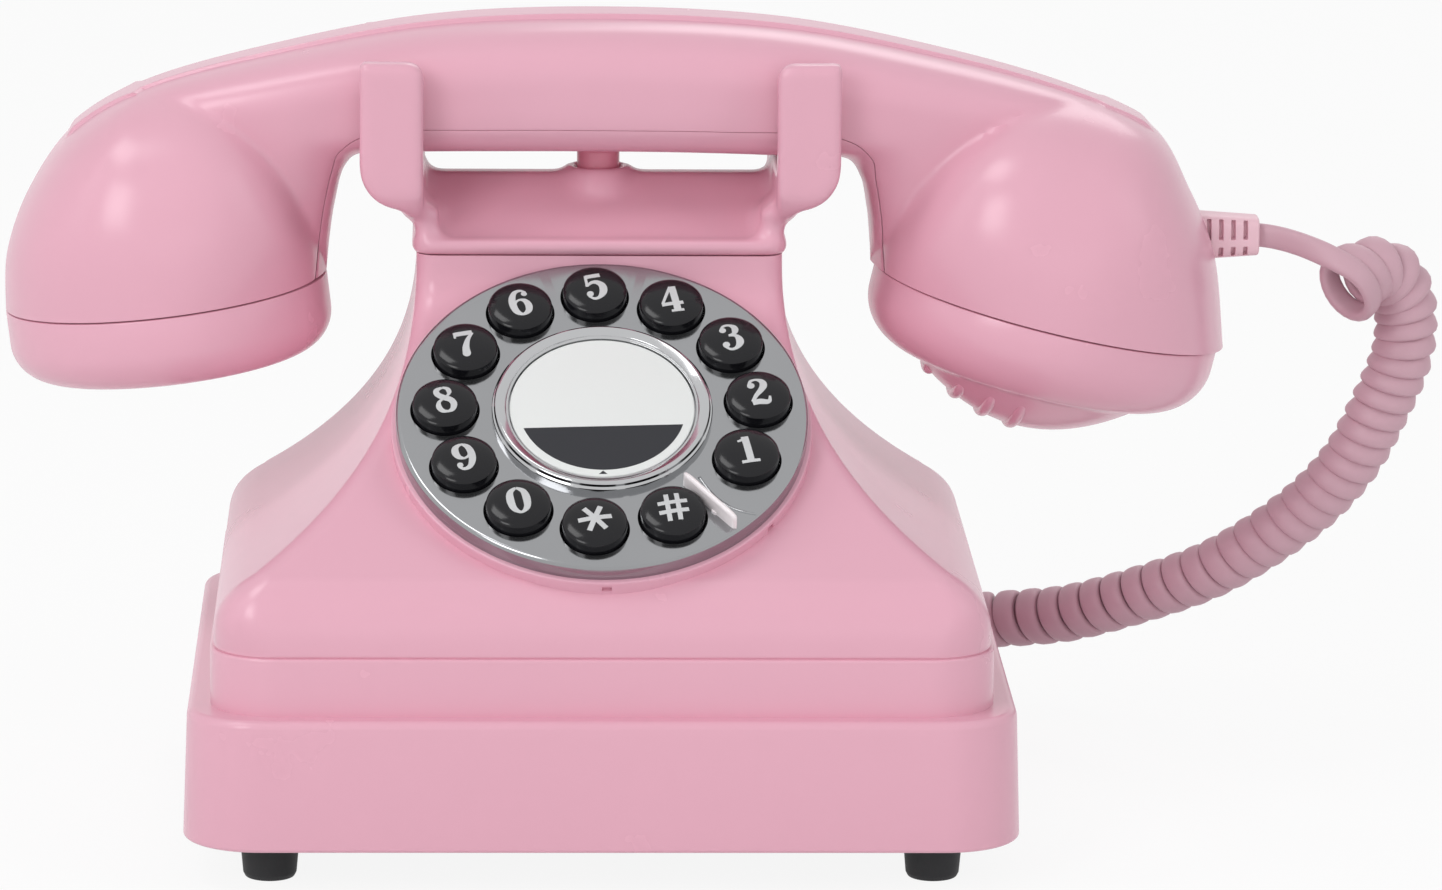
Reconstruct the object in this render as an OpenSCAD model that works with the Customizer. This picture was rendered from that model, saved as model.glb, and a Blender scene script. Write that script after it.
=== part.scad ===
// Retro desk telephone: a stepped square base with a flared neck, a push-button dial on the front
// slope, a four-horn cradle and an arched handset on a curly cord.
// X runs to the right, Y to the back and Z up. The feet stand on z = 0 and the base is centred on X and Y.

/* [Base plinth] */
// Width of the plinth at its top edge
plinth_w = 146.8; // [140:0.2:156]
// Depth of the plinth at its top edge
plinth_d = 126; // [120:1:136]
// Corner radius of the plinth seen from above
plinth_r = 13; // [10:0.5:15]
// Height of the plinth above the feet
plinth_h = 23.5; // [22:0.5:30]
// How far the plinth widens towards the bottom, on each side
plinth_draft = 0.8; // [0.4:0.1:1.4]
// Rounding of the plinth's top edge
plinth_edge_r = 1.5; // [0.8:0.1:2]
// Thickness of the plinth's side walls
plinth_wall = 2.6; // [2:0.1:3.2]
// Thickness of the plinth's deck
deck_t = 2.5; // [2:0.1:3.5]
// Thickness of the bottom plate
bottom_t = 3; // [2.6:0.1:4]

/* [Feet] */
// Height of a foot below the bottom plate
foot_h = 8; // [6:0.5:12]
// Diameter of a foot where it meets the plate
foot_d = 10.9; // [9:0.1:13]
// How much narrower a foot is at the floor
foot_taper = 0.6; // [0.2:0.1:1.2]
// Distance of a foot's centre from the plinth's side walls
foot_inset = 14.5; // [13:0.5:18]

/* [Upper housing] */
// Step from the plinth's top edge in to the band
ledge = 4; // [3:0.5:6]
// Height of the straight band above the plinth
band_h = 10.3; // [8:0.1:13]
// Depth of the crease at the top of the band
band_crease = 0.6; // [0.3:0.1:1]
// Corner radius of the band seen from above
band_r = 12; // [9:0.5:13]
// Height of the rounded shoulder above the band
shoulder_h = 13.2; // [12:0.1:17]
// How far the shoulder pulls in at the sides
shoulder_side_drop = 6.6; // [4:0.1:8]
// How far the shoulder pulls in at the back
shoulder_rear_drop = 9.9; // [8:0.1:12]
// Half width of the neck at its top
neck_half_w = 33.3; // [32.5:0.1:36]
// Half depth of the neck, from the cradle's centre to its rear wall
neck_half_d = 21; // [20.5:0.1:22]
// Height of the neck's top edge above the floor
neck_top_z = 102.8; // [101:0.1:106]
// How quickly the sides flare out below the neck
flare_power = 2.65; // [2.2:0.05:3.2]
// Wall thickness of the housing
shell_t = 2.4; // [2:0.1:2.8]
// Wall thickness of the housing at the neck
neck_t = 3.6; // [3.2:0.1:4]

/* [Dial] */
// Tilt of the dial from the horizontal, in degrees
dial_tilt = 36; // [33:0.5:39]
// Place of the dial's centre in front of the base's centre
dial_forward = 29; // [28:0.5:30]
// Height of the dial's centre above the floor
dial_z = 80.2; // [79:0.2:82]
// Radius of the dial plate
dial_r = 36.8; // [36:0.2:37.6]
// Thickness of the dial plate
dial_t = 3.5; // [3:0.1:4]
// Width of the collar that shows round the dial plate
collar_edge = 0.8; // [0.5:0.1:1.4]
// Height of the collar under the dial plate
collar_h = 2.2; // [2:0.1:3]
// Diameter of a button
button_d = 11.5; // [10.5:0.1:12]
// Height of a button's dome above the dial plate
button_rise = 3; // [2:0.1:4]
// Travel of a button
button_travel = 1.5; // [1:0.1:1.7]
// Angle of the first button, turning to the left from the right-hand side, in degrees
button_start = -24.3; // [-26:0.5:-22]
// Angle from one button to the next, in degrees
button_step = 29.1; // [28.5:0.1:29.6]
// Outer radius of the hub ring
hub_r = 19.7; // [18.8:0.1:20.3]
// Radius of the centre disc
disc_r = 16.5; // [15:0.1:16.8]
// Height of the hub ring above the dial plate
hub_rise = 2.2; // [1.6:0.1:3]
// Angle of the finger stop, in degrees
stop_angle = -48.5; // [-49.5:0.5:-46]
// Width of the finger stop
stop_w = 1.8; // [1.4:0.1:2]
// Height of the finger stop above the dial plate
stop_rise = 3.2; // [2.4:0.1:4]

/* [Cradle] */
// Place of the cradle's centre behind the base's centre
cradle_back = 22.5; // [22:0.5:23.5]
// How far the lip stands out from the neck
lip_out = 0.8; // [0.3:0.1:1.2]
// Thickness of the lip
lip_h = 3.1; // [2.5:0.1:4]
// Height of the saddle above the lip
saddle_h = 4.9; // [4:0.1:5.5]
// Wall thickness of the cradle
cradle_t = 3; // [2.6:0.1:3.4]
// Inner edge of a horn, from the middle of the cradle
horn_in = 32; // [30:0.1:32.5]
// Width of a horn
horn_w = 11.5; // [11:0.1:13]
// Thickness of a horn from front to back
horn_t = 5; // [4:0.2:6]
// Height of a horn above the saddle
horn_h = 27.8; // [24:0.1:32]
// Gap between the front and the rear horn
horn_gap = 41.6; // [40:0.2:43]
// Radius of the hook plunger's boss at its top
boss_r = 5.6; // [5.2:0.1:6.5]
// Height of the boss above the saddle
boss_h = 5.9; // [5:0.1:6.5]
// Height of the cradle's ridge above its end walls
ridge_h = 4.2; // [3.5:0.1:4.5]
// Diameter of the hook plunger
plunger_d = 7.8; // [7:0.1:8.6]
// Travel of the hook plunger
plunger_travel = 4; // [3:0.1:4.2]

/* [Handset] */
// Offset of the handset to the right of the cradle's centre
handset_right = 1; // [0:0.1:1.5]
// Height of the handle's underside above the saddle
handle_lift = 9.1; // [8.8:0.1:9.6]
// Height of the handle's section in the middle
handle_h = 24; // [22:0.5:26]
// Width of the handle from front to back
handle_w = 36; // [33:0.5:38]
// Wall thickness of the handset
handset_t = 2.5; // [2:0.1:3]
// Half width of the raised spine, as an angle round the section, in degrees
spine_angle = 8; // [6:0.5:12]
// Height of the raised spine
spine_h = 1; // [0.4:0.1:1.4]
// Radius of the ear cup at its rim
ear_r = 29.7; // [29:0.1:30.2]
// Radius of the mouth cup at its rim
mouth_r = 32.6; // [32:0.1:33.4]
// Depth of the ear cap below the rim
ear_cap_h = 13.8; // [12:0.2:17]
// Depth of the mouth cap's ring below the rim
mouth_cap_h = 14; // [12:0.5:16]
// How far the mouth cap's grille bulges below its ring
grille_bulge = 9.5; // [6:0.5:11]

/* [Cord] */
// Width of the cord's strand
cord_d = 4.3; // [3.8:0.1:4.6]
// Outer diameter of the curly cord
coil_d = 11.4; // [10.6:0.1:11.8]
// Length of the strain relief outside the handset
relief_l = 11.5; // [9:0.5:14]
// Diameter of the strain relief where it leaves the handset
relief_d = 8.6; // [7.6:0.1:9]
// Diameter of the strain relief at its tip
relief_tip_d = 7.1; // [5.6:0.1:7.6]

/* [Screws] */
// Shank diameter of every screw
screw_d = 3; // [2.6:0.1:3.4]
// Head diameter of every screw
screw_head_d = 5.8; // [5:0.1:6.4]
// Height of every screw head
screw_head_h = 1.6; // [1.2:0.1:2]

/* [Clearances] */
// Clearance between pieces that are assembled and stay still
fit = 0.25; // [0.1:0.05:0.3]
// Clearance round a piece that moves
run = 0.3; // [0.2:0.05:0.4]
// Clearance round a screw's thread
thread_fit = 0.05; // [0.02:0.01:0.1]

/* [Hidden] */
$fn = 48;

PINK = [0.91, 0.67, 0.75];
CORD_PINK = [0.80, 0.63, 0.69];
CHROME = [0.62, 0.63, 0.64];
BLACK = [0.05, 0.05, 0.05];
BOARD_GREEN = [0.10, 0.35, 0.20];
STEEL = [0.55, 0.56, 0.58];
WHITE = [0.93, 0.94, 0.94];

// Levels above the floor
plinth_top_z = foot_h + plinth_h;
plate_top_z = foot_h + bottom_t;
deck_z = plinth_top_z - deck_t;
band_top_z = plinth_top_z + band_h;
shoulder_z = band_top_z + shoulder_h;
lip_top_z = neck_top_z + lip_h;
saddle_z = lip_top_z + saddle_h;
boss_top_z = saddle_z + boss_h;
handle_z = saddle_z + handle_lift;
roof_z = saddle_z - cradle_t;

// Plan of the band and the neck
band_w = plinth_w / 2 - ledge;
band_d = plinth_d / 2 - ledge;
neck_rear_y = cradle_back + neck_half_d;
neck_front_y = cradle_back - neck_half_d;
cut_over = 1;

// ---------- small functions ----------
function unit(v) = v / norm(v);
function lerp(a, b, t) = a + (b - a) * t;
function clamp(t) = min(1, max(0, t));

// Catmull-Rom through the points p, at stretch i and place t in it
function knot(p, i) = p[min(len(p) - 1, max(0, i))];
function curve_at(p, i, t) =
    let (a = knot(p, i - 1), b = knot(p, i), c = knot(p, i + 1), d = knot(p, i + 2))
    0.5 * ((2 * b) + (c - a) * t + (2 * a - 5 * b + 4 * c - d) * t * t + (3 * b - a - 3 * c + d) * t * t * t);
function curve(p, steps) = [
    for (i = [0 : len(p) - 2], k = [0 : steps - 1]) curve_at(p, i, k / steps),
    p[len(p) - 1]
];

// Triangles of a stack of closed rings with n points each, with flat ends
function stack_faces(rings, n) = concat(
    [for (i = [0 : rings - 2], j = [0 : n - 1]) [i * n + j, (i + 1) * n + j, i * n + (j + 1) % n]],
    [for (i = [0 : rings - 2], j = [0 : n - 1])
        [(i + 1) * n + j, (i + 1) * n + (j + 1) % n, i * n + (j + 1) % n]]);

// Triangles of the two ends of a stack of C-shaped rings: half outer points, then half inner points back
function c_end_faces(first, half, flip) = [
    for (j = [0 : half - 2])
        let (a = first + j, b = first + j + 1, c = first + 2 * half - 2 - j, d = first + 2 * half - 1 - j)
        each (flip ? [[a, c, b], [a, d, c]] : [[a, b, c], [a, c, d]])
];

// A solid swept through C-shaped rings
module c_loft(rings) {
    n = len(rings[0]);
    last = (len(rings) - 1) * n;
    polyhedron(
        points = [for (r = rings) each r],
        faces = concat(stack_faces(len(rings), n), c_end_faces(0, n / 2, false), c_end_faces(last, n / 2, true)));
}

// A round tube of radius r along a route, with its rings set off from the direction side
module tube(route, r, sides, side) {
    n = len(route);
    rings = [for (i = [0 : n - 1])
        let (t = unit(route[min(n - 1, i + 1)] - route[max(0, i - 1)]),
             u = unit(cross(t, side)), v = cross(t, u))
        [for (k = [0 : sides - 1]) route[i] + r * (cos(360 * k / sides) * u + sin(360 * k / sides) * v)]];
    polyhedron(
        points = [for (q = rings) each q],
        faces = concat(
            stack_faces(n, sides),
            [[for (k = [0 : sides - 1]) k]],
            [[for (k = [0 : sides - 1]) n * sides - 1 - k]]));
}

// A plan outline with rounded corners, from corner to corner
module round_plan(x0, x1, y0, y1, r) {
    union() {
        translate([x0 + r, y0]) square([x1 - x0 - 2 * r, y1 - y0]);
        translate([x0, y0 + r]) square([x1 - x0, y1 - y0 - 2 * r]);
        for (x = [x0 + r, x1 - r], y = [y0 + r, y1 - r]) translate([x, y]) circle(r);
    }
}
module round_slab(x0, x1, y0, y1, r, z0, z1) {
    translate([0, 0, z0]) linear_extrude(z1 - z0) round_plan(x0, x1, y0, y1, r);
}

// A wall section carried round a rounded rectangle; its x is 0 at the outer face and below 0 inside
module carried_round(half_w, half_d, r) {
    for (sx = [-1, 1], sy = [-1, 1])
        translate([sx * (half_w - r), sy * (half_d - r), 0])
            rotate([0, 0, sx > 0 ? (sy > 0 ? 0 : -90) : (sy > 0 ? 90 : 180)])
                rotate_extrude(angle = 90) translate([r, 0]) children();
    for (s = [-1, 1]) {
        rotate([0, 0, s > 0 ? 0 : 180]) translate([half_w, 0, 0])
            rotate([90, 0, 0]) translate([0, 0, r - half_d]) linear_extrude(2 * (half_d - r)) children();
        rotate([0, 0, 90 * s]) translate([half_d, 0, 0])
            rotate([90, 0, 0]) translate([0, 0, r - half_w]) linear_extrude(2 * (half_w - r)) children();
    }
}

// A screw that points up from z0, with its head below
module screw_up(x, y, z0, z1) {
    translate([x, y, z0]) cylinder(d = screw_head_d, h = screw_head_h);
    translate([x, y, z0]) cylinder(d = screw_d, h = z1 - z0);
}
// A screw that points down from z1, with its head on top
module screw_down(x, y, z0, z1) {
    translate([x, y, z1 - screw_head_h]) cylinder(d = screw_head_d, h = screw_head_h);
    translate([x, y, z0]) cylinder(d = screw_d, h = z1 - z0);
}
module bore(x, y, z0, z1, d) {
    translate([x, y, z0]) cylinder(d = d, h = z1 - z0);
}

// ---------- base ----------
foot_x = plinth_w / 2 - foot_inset;
foot_y = plinth_d / 2 - foot_inset;
foot_peg_d = 5;
base_screw_x = plinth_w / 2 - 13;
base_screw_y = plinth_d / 2 - 29;
base_boss_d = 9;
housing_boss_r = 4.5;
boss_in = (band_r - shell_t + 0.6 - housing_boss_r) * sqrt(0.5);
housing_screw_x = band_w - band_r + boss_in;
housing_screw_y = band_d - band_r + boss_in;
housing_boss_z = plinth_top_z + 13;
deck_hole_w = plinth_w - 50;
deck_hole_d = plinth_d - 60;
standoff_d = 7;
board_x = plinth_w / 2 - 27;
board_y0 = 4;
board_z = plate_top_z + 5.5;
board_t = 1.6;
board_hole_x = board_x - 5;
board_hole_y = [board_y0 + 5, plinth_d / 2 - 19];
speaker_r = 25;
speaker_x = 43 - plinth_w / 2;
speaker_y = 37 - plinth_d / 2;
ballast_x0 = speaker_x + speaker_r + 7;
ballast_x1 = base_screw_x - base_boss_d / 2 - 1.5;
grille_hole_d = 2.4;
jack_w = 13;
jack_z = board_z + board_t;
jack_h = deck_z - jack_z - fit;
jack_l = 15;
handset_jack_x = 4;
line_jack_x = -34;
socket_w = 8;
socket_h = 6.8;
socket_depth = 10.5;
line_socket_w = 9.8;
rear_face_y = plinth_d / 2;

// Section of the plinth's wall and of the deck's border, drafted outside and rounded on its top edge
module plinth_section() {
    wall_in = -plinth_wall;
    polygon(concat(
        [[wall_in + plinth_draft, foot_h], [plinth_draft, foot_h]],
        [for (a = [0 : 15 : 90])
            [plinth_edge_r * (cos(a) - 1), plinth_top_z + plinth_edge_r * (sin(a) - 1)]],
        [[-plinth_r, plinth_top_z], [-plinth_r, deck_z], [wall_in, deck_z]]));
}

module base_plinth() {
    color(PINK) difference() {
        union() {
            carried_round(plinth_w / 2, plinth_d / 2, plinth_r) plinth_section();
            translate([plinth_r - plinth_w / 2, plinth_r - plinth_d / 2, deck_z])
                cube([plinth_w - 2 * plinth_r, plinth_d - 2 * plinth_r, deck_t]);
            for (x = [-base_screw_x, base_screw_x], y = [-base_screw_y, base_screw_y])
                bore(x, y, plate_top_z, deck_z + 0.5, base_boss_d);
        }
        translate([-deck_hole_w / 2, -deck_hole_d / 2, deck_z - cut_over])
            cube([deck_hole_w, deck_hole_d, deck_t + 2 * cut_over]);
        for (x = [-base_screw_x, base_screw_x], y = [-base_screw_y, base_screw_y])
            bore(x, y, plate_top_z - cut_over, deck_z - 1, screw_d + 2 * thread_fit);
        for (x = [-housing_screw_x, housing_screw_x], y = [-housing_screw_y, housing_screw_y])
            bore(x, y, deck_z - cut_over, plinth_top_z + cut_over, screw_d + 2 * fit);
        for (x = [handset_jack_x, line_jack_x])
            translate([x - jack_w / 2 - fit, rear_face_y - plinth_wall - 2, jack_z - fit])
                cube([jack_w + 2 * fit, plinth_wall + 2 * plinth_draft + 4, jack_h + 2 * fit]);
    }
}

module bottom_plate() {
    half_w = plinth_w / 2 - plinth_wall - fit;
    half_d = plinth_d / 2 - plinth_wall - fit;
    color(BLACK) difference() {
        union() {
            round_slab(-half_w, half_w, -half_d, half_d, plinth_r - plinth_wall, foot_h, plate_top_z);
            for (x = [-board_hole_x, board_hole_x], y = board_hole_y)
                bore(x, y, plate_top_z - 0.5, board_z, standoff_d);
        }
        for (x = [-foot_x, foot_x], y = [-foot_y, foot_y])
            bore(x, y, foot_h - cut_over, plate_top_z + cut_over, foot_peg_d + 2 * thread_fit);
        for (x = [-base_screw_x, base_screw_x], y = [-base_screw_y, base_screw_y]) {
            bore(x, y, foot_h - cut_over, plate_top_z + cut_over, screw_d + 2 * fit);
            bore(x, y, foot_h - cut_over, foot_h + screw_head_h + fit, screw_head_d + 2 * fit);
        }
        for (x = [-board_hole_x, board_hole_x], y = board_hole_y)
            bore(x, y, plate_top_z - 1, board_z + cut_over, screw_d + 2 * thread_fit);
        for (ring = [0 : 2], k = [0 : max(0, 6 * ring - 1)])
            translate([speaker_x, speaker_y, 0]) rotate([0, 0, ring == 0 ? 0 : 60 * k / ring])
                bore(6.5 * ring, 0, foot_h - cut_over, plate_top_z + cut_over, grille_hole_d);
    }
}

module foot(x, y) {
    color(BLACK) {
        translate([x, y, 0.6]) cylinder(d1 = foot_d - foot_taper, d2 = foot_d, h = foot_h - 0.6);
        translate([x, y, 0]) cylinder(d1 = foot_d - foot_taper - 1, d2 = foot_d - foot_taper, h = 0.6);
        bore(x, y, foot_h - 0.5, plate_top_z - 0.4, foot_peg_d);
    }
}
module foot_front_left() { foot(-foot_x, -foot_y); }
module foot_front_right() { foot(foot_x, -foot_y); }
module foot_rear_left() { foot(-foot_x, foot_y); }
module foot_rear_right() { foot(foot_x, foot_y); }

module base_screws() {
    color(STEEL) for (x = [-base_screw_x, base_screw_x], y = [-base_screw_y, base_screw_y])
        screw_up(x, y, foot_h + fit, deck_z - 2);
}

// The heads bear on the deck from below and the shanks go up into the housing's corner bosses
module housing_screws() {
    color(STEEL) for (x = [-housing_screw_x, housing_screw_x], y = [-housing_screw_y, housing_screw_y])
        screw_up(x, y, deck_z - screw_head_h, housing_boss_z - 3);
}

module main_board() {
    color(BOARD_GREEN) difference() {
        union() {
            translate([-board_x, board_y0, board_z])
                cube([2 * board_x, rear_face_y - plinth_wall - 2.4 - board_y0, board_t]);
            translate([16, board_y0 + 14, board_z + board_t - 0.1]) cube([16, 12, 2.5]);
            translate([-26, board_y0 + 10, board_z + board_t - 0.1]) cube([11, 6, 3]);
            for (x = [-6, 3]) bore(x, board_y0 + 12, board_z + board_t - 0.1, board_z + 9, 6);
        }
        for (x = [-board_hole_x, board_hole_x], y = board_hole_y)
            bore(x, y, board_z - cut_over, board_z + board_t + cut_over, screw_d + 2 * fit);
    }
}

module board_screws() {
    color(STEEL) for (x = [-board_hole_x, board_hole_x], y = board_hole_y)
        screw_down(x, y, plate_top_z, board_z + board_t + screw_head_h);
}

module ringer_speaker() {
    color([0.2, 0.2, 0.2]) translate([speaker_x, speaker_y, 0]) difference() {
        union() {
            translate([0, 0, plate_top_z]) cylinder(r = speaker_r, h = 3);
            translate([0, 0, plate_top_z + 3]) cylinder(r1 = speaker_r - 3, r2 = 13, h = 6);
            translate([0, 0, plate_top_z + 9]) cylinder(r = 13, h = 4);
        }
        translate([0, 0, plate_top_z - cut_over]) cylinder(r = speaker_r - 4, h = cut_over + 2);
    }
}

module ballast_weight() {
    color(STEEL) round_slab(ballast_x0, ballast_x1, -foot_y + 8, -4, 3, plate_top_z, plate_top_z + 8);
}

// A modular socket, open to the back
module jack(x, w) {
    color(BLACK) difference() {
        translate([x - jack_w / 2, rear_face_y + plinth_draft - jack_l, jack_z])
            cube([jack_w, jack_l - 0.5, jack_h]);
        translate([x - w / 2, rear_face_y + plinth_draft - socket_depth, jack_z + (jack_h - socket_h) / 2])
            cube([w, socket_depth + cut_over, socket_h]);
    }
}
module handset_jack() { jack(handset_jack_x, socket_w); }
module line_jack() { jack(line_jack_x, line_socket_w); }

// ---------- upper housing ----------
slope = tan(dial_tilt);
collar_r = dial_r + collar_edge;
slope_drop = dial_t + collar_h;
pocket_n = -slope_drop - 0.8;
button_ring_r = (dial_r + hub_r - 0.5) / 2;
pocket_r = button_ring_r + button_d / 2 + 1.2;
stem_d = 5;
dial_screw_r = 15.5;
dial_screw_angles = [45, 135, 225, 315];
arc_steps = 6;

// Place on the front slope at height z: a plane parallel to the dial
function slope_y(z) = -dial_forward + (z - dial_z + slope_drop / cos(dial_tilt)) / slope;
// The slope runs softly into the neck's upright front
neck_softness = 0.5;
function front_y(z) =
    -ln(exp(-neck_softness * slope_y(z)) + exp(-neck_softness * neck_front_y)) / neck_softness;

// How far up the shoulder and how far up the flare a height lies, from 0 to 1
function on_shoulder(z) = clamp((z - band_top_z) / shoulder_h);
function on_flare(z) = clamp((z - shoulder_z) / (neck_top_z - shoulder_z));
crease_w = band_w - band_crease;
crease_d = band_d - band_crease;
shoulder_w = crease_w - shoulder_side_drop;
shoulder_rear = crease_d - shoulder_rear_drop;
function half_w(z) = z <= shoulder_z
    ? crease_w - shoulder_side_drop * pow(on_shoulder(z), 3.3)
    : neck_half_w + (shoulder_w - neck_half_w) * pow(1 - on_flare(z), flare_power);
function y_front(z) = z <= shoulder_z
    ? lerp(-crease_d, front_y(shoulder_z), pow(on_shoulder(z), 2.8))
    : front_y(z);
function y_rear(z) = z <= shoulder_z
    ? crease_d - shoulder_rear_drop * pow(on_shoulder(z), 1.5)
    : neck_rear_y + (shoulder_rear - neck_rear_y) * pow(1 - on_flare(z), 6);
function corner_r(z) = z <= shoulder_z ? lerp(band_r, 4, on_shoulder(z)) : lerp(3, 4, on_flare(z));

// One rounded ring of the housing
function plan_ring(z, w, y0, y1, r) = [
    for (c = [0 : 3], k = [0 : arc_steps])
        let (a = 90 * (c + k / arc_steps),
             cx = (c == 0 || c == 3 ? w - r : r - w),
             cy = (c < 2 ? y1 - r : y0 + r))
        [cx + r * cos(a), cy + r * sin(a), z]
];

// Growth of the wall's level thickness where the surface leans, from its slope over 1 mm
function lean(a, b) = norm([1, a - b]);
// Ring of the inner surface, t inside the outer one
function inner_ring(z, t) =
    let (zz = max(z, band_top_z + 0.1), d = 0.5)
    plan_ring(z,
        half_w(zz) - t * lean(half_w(zz + d), half_w(zz - d)),
        y_front(zz) + t * lean(y_front(zz + d), y_front(zz - d)),
        y_rear(zz) - t * lean(y_rear(zz + d), y_rear(zz - d)),
        max(1, corner_r(zz) - t));
flare_levels = 16;
ledge_z = neck_top_z - 6;
outer_levels = concat(
    [for (k = [1 : 6]) band_top_z + shoulder_h * k / 6],
    [for (k = [1 : flare_levels]) lerp(shoulder_z, neck_top_z, k / flare_levels)]);
inner_levels = concat(
    [plinth_top_z, band_top_z],
    [for (z = outer_levels) if (z < ledge_z - 1) z],
    [ledge_z]);

module housing_shell() {
    outer = concat(
        [plan_ring(plinth_top_z, band_w, -band_d, band_d, band_r),
         plan_ring(band_top_z - 1, band_w, -band_d, band_d, band_r),
         plan_ring(band_top_z - 0.3, band_w - 0.3, 0.3 - band_d, band_d - 0.3, band_r),
         plan_ring(band_top_z, crease_w, -crease_d, crease_d, band_r - band_crease)],
        [for (z = outer_levels) plan_ring(z, half_w(z), y_front(z), y_rear(z), corner_r(z))]);
    inner = concat(
        [for (z = inner_levels) inner_ring(z, shell_t)],
        [inner_ring(ledge_z, neck_t), inner_ring(neck_top_z, neck_t)]);
    n = len(outer[0]);
    all_rings = concat(outer, [for (i = [len(inner) - 1 : -1 : 0]) inner[i]]);
    m = len(all_rings);
    polyhedron(
        points = [for (r = all_rings) each r],
        faces = concat(
            stack_faces(m, n),
            [for (j = [0 : n - 1]) each [
                [(m - 1) * n + j, j, (m - 1) * n + (j + 1) % n],
                [j, (j + 1) % n, (m - 1) * n + (j + 1) % n]]]));
}

module at_dial() {
    translate([0, -dial_forward, dial_z]) rotate([dial_tilt, 0, 0]) children();
}
function button_angle(i) = button_start + button_step * i;

module upper_housing() {
    color(PINK) difference() {
        union() {
            housing_shell();
            for (x = [-housing_screw_x, housing_screw_x], y = [-housing_screw_y, housing_screw_y])
                bore(x, y, plinth_top_z, housing_boss_z, 2 * housing_boss_r);
            at_dial() translate([0, 0, -slope_drop - 1.5]) cylinder(r = collar_r, h = collar_h + 1.5);
        }
        for (x = [-housing_screw_x, housing_screw_x], y = [-housing_screw_y, housing_screw_y])
            bore(x, y, plinth_top_z - cut_over, housing_boss_z - 2, screw_d + 2 * thread_fit);
        at_dial() {
            translate([0, 0, -dial_t]) cylinder(r = dial_r + fit, h = 12);
            translate([0, 0, pocket_n]) cylinder(r = pocket_r, h = -pocket_n);
            for (i = [0 : 11]) rotate([0, 0, button_angle(i)])
                bore(button_ring_r, 0, pocket_n - 6, pocket_n + cut_over, stem_d + 2 * run);
            for (a = dial_screw_angles) rotate([0, 0, a])
                bore(dial_screw_r, 0, pocket_n - 6, pocket_n + cut_over, screw_d + 2 * fit);
        }
    }
}

// ---------- dial ----------
flange_t = 1.2;
flange_d = button_d + 1.5;
floor_n = -slope_drop - shell_t;
membrane_t = 1.2;
keypad_r = button_ring_r + stem_d / 2 + 0.2;

// The profile of the plate: flat, with a rounded outer edge
module dial_plate() {
    edge = 0.9;
    color(CHROME) at_dial() difference() {
        union() {
            rotate_extrude() polygon(concat(
                [[0, -dial_t], [dial_r, -dial_t]],
                [for (a = [0 : 30 : 90]) [dial_r - edge + edge * cos(a), -edge + edge * sin(a)]],
                [[0, 0]]));
            for (a = dial_screw_angles) rotate([0, 0, a])
                bore(dial_screw_r, 0, pocket_n, -dial_t + 0.5, 6);
        }
        for (i = [0 : 11]) rotate([0, 0, button_angle(i)]) {
            bore(button_ring_r, 0, -dial_t - cut_over, cut_over, button_d + 2 * run);
            translate([button_ring_r, 0, -0.7])
                cylinder(d1 = button_d + 2 * run, d2 = button_d + 2 * run + 1.6, h = 0.8);
        }
        for (a = dial_screw_angles) rotate([0, 0, a])
            bore(dial_screw_r, 0, pocket_n - cut_over, -1.2, screw_d + 2 * thread_fit);
        rotate([0, 0, stop_angle]) bore(button_ring_r + 3, 0, -2.4, cut_over, stop_w + 2 * thread_fit);
    }
}

module hub_ring() {
    color(CHROME) at_dial() rotate_extrude() polygon(concat(
        [[disc_r + fit, 0], [hub_r, 0]],
        [for (a = [0 : 15 : 180])
            [(hub_r + disc_r + fit) / 2 + (hub_r - disc_r - fit) / 2 * cos(a), 0.6 + (hub_rise - 0.6) * sin(a)]]));
}

module centre_disc() {
    color(WHITE) at_dial() cylinder(r = disc_r, h = 1.1);
}

// A rib with a rounded crest and a peg that sits in the plate
module finger_stop() {
    color(CHROME) at_dial() rotate([0, 0, stop_angle]) {
        translate([hub_r + 2.4, 0, 0]) rotate([90, 0, 90]) linear_extrude(dial_r - hub_r - 2.9)
            polygon(concat([[-stop_w / 2, 0], [stop_w / 2, 0]],
                [for (a = [0 : 30 : 180])
                    [stop_w / 2 * cos(a), stop_rise - stop_w / 2 * (1 - sin(a))]]));
        bore(button_ring_r + 3, 0, -2, 0.5, stop_w);
    }
}

module keypad_membrane() {
    color([0.35, 0.35, 0.37]) at_dial() difference() {
        translate([0, 0, floor_n - run - membrane_t]) cylinder(r = keypad_r, h = membrane_t);
        for (a = dial_screw_angles) rotate([0, 0, a])
            bore(dial_screw_r, 0, floor_n - 4, floor_n + cut_over, screw_d + 2 * fit);
    }
}

module keypad_board() {
    top = floor_n - run - membrane_t;
    color(BOARD_GREEN) at_dial() difference() {
        translate([0, 0, top - board_t]) cylinder(r = keypad_r, h = board_t);
        for (a = dial_screw_angles) rotate([0, 0, a])
            bore(dial_screw_r, 0, top - 4, top + cut_over, screw_d + 2 * fit);
    }
}

// The screws clamp the housing's slope between the plate's standoffs and the keypad board
module dial_screws() {
    head = floor_n - run - membrane_t - board_t - screw_head_h;
    color(STEEL) at_dial() for (a = dial_screw_angles) rotate([0, 0, a]) screw_up(dial_screw_r, 0, head, -1.6);
}

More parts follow.
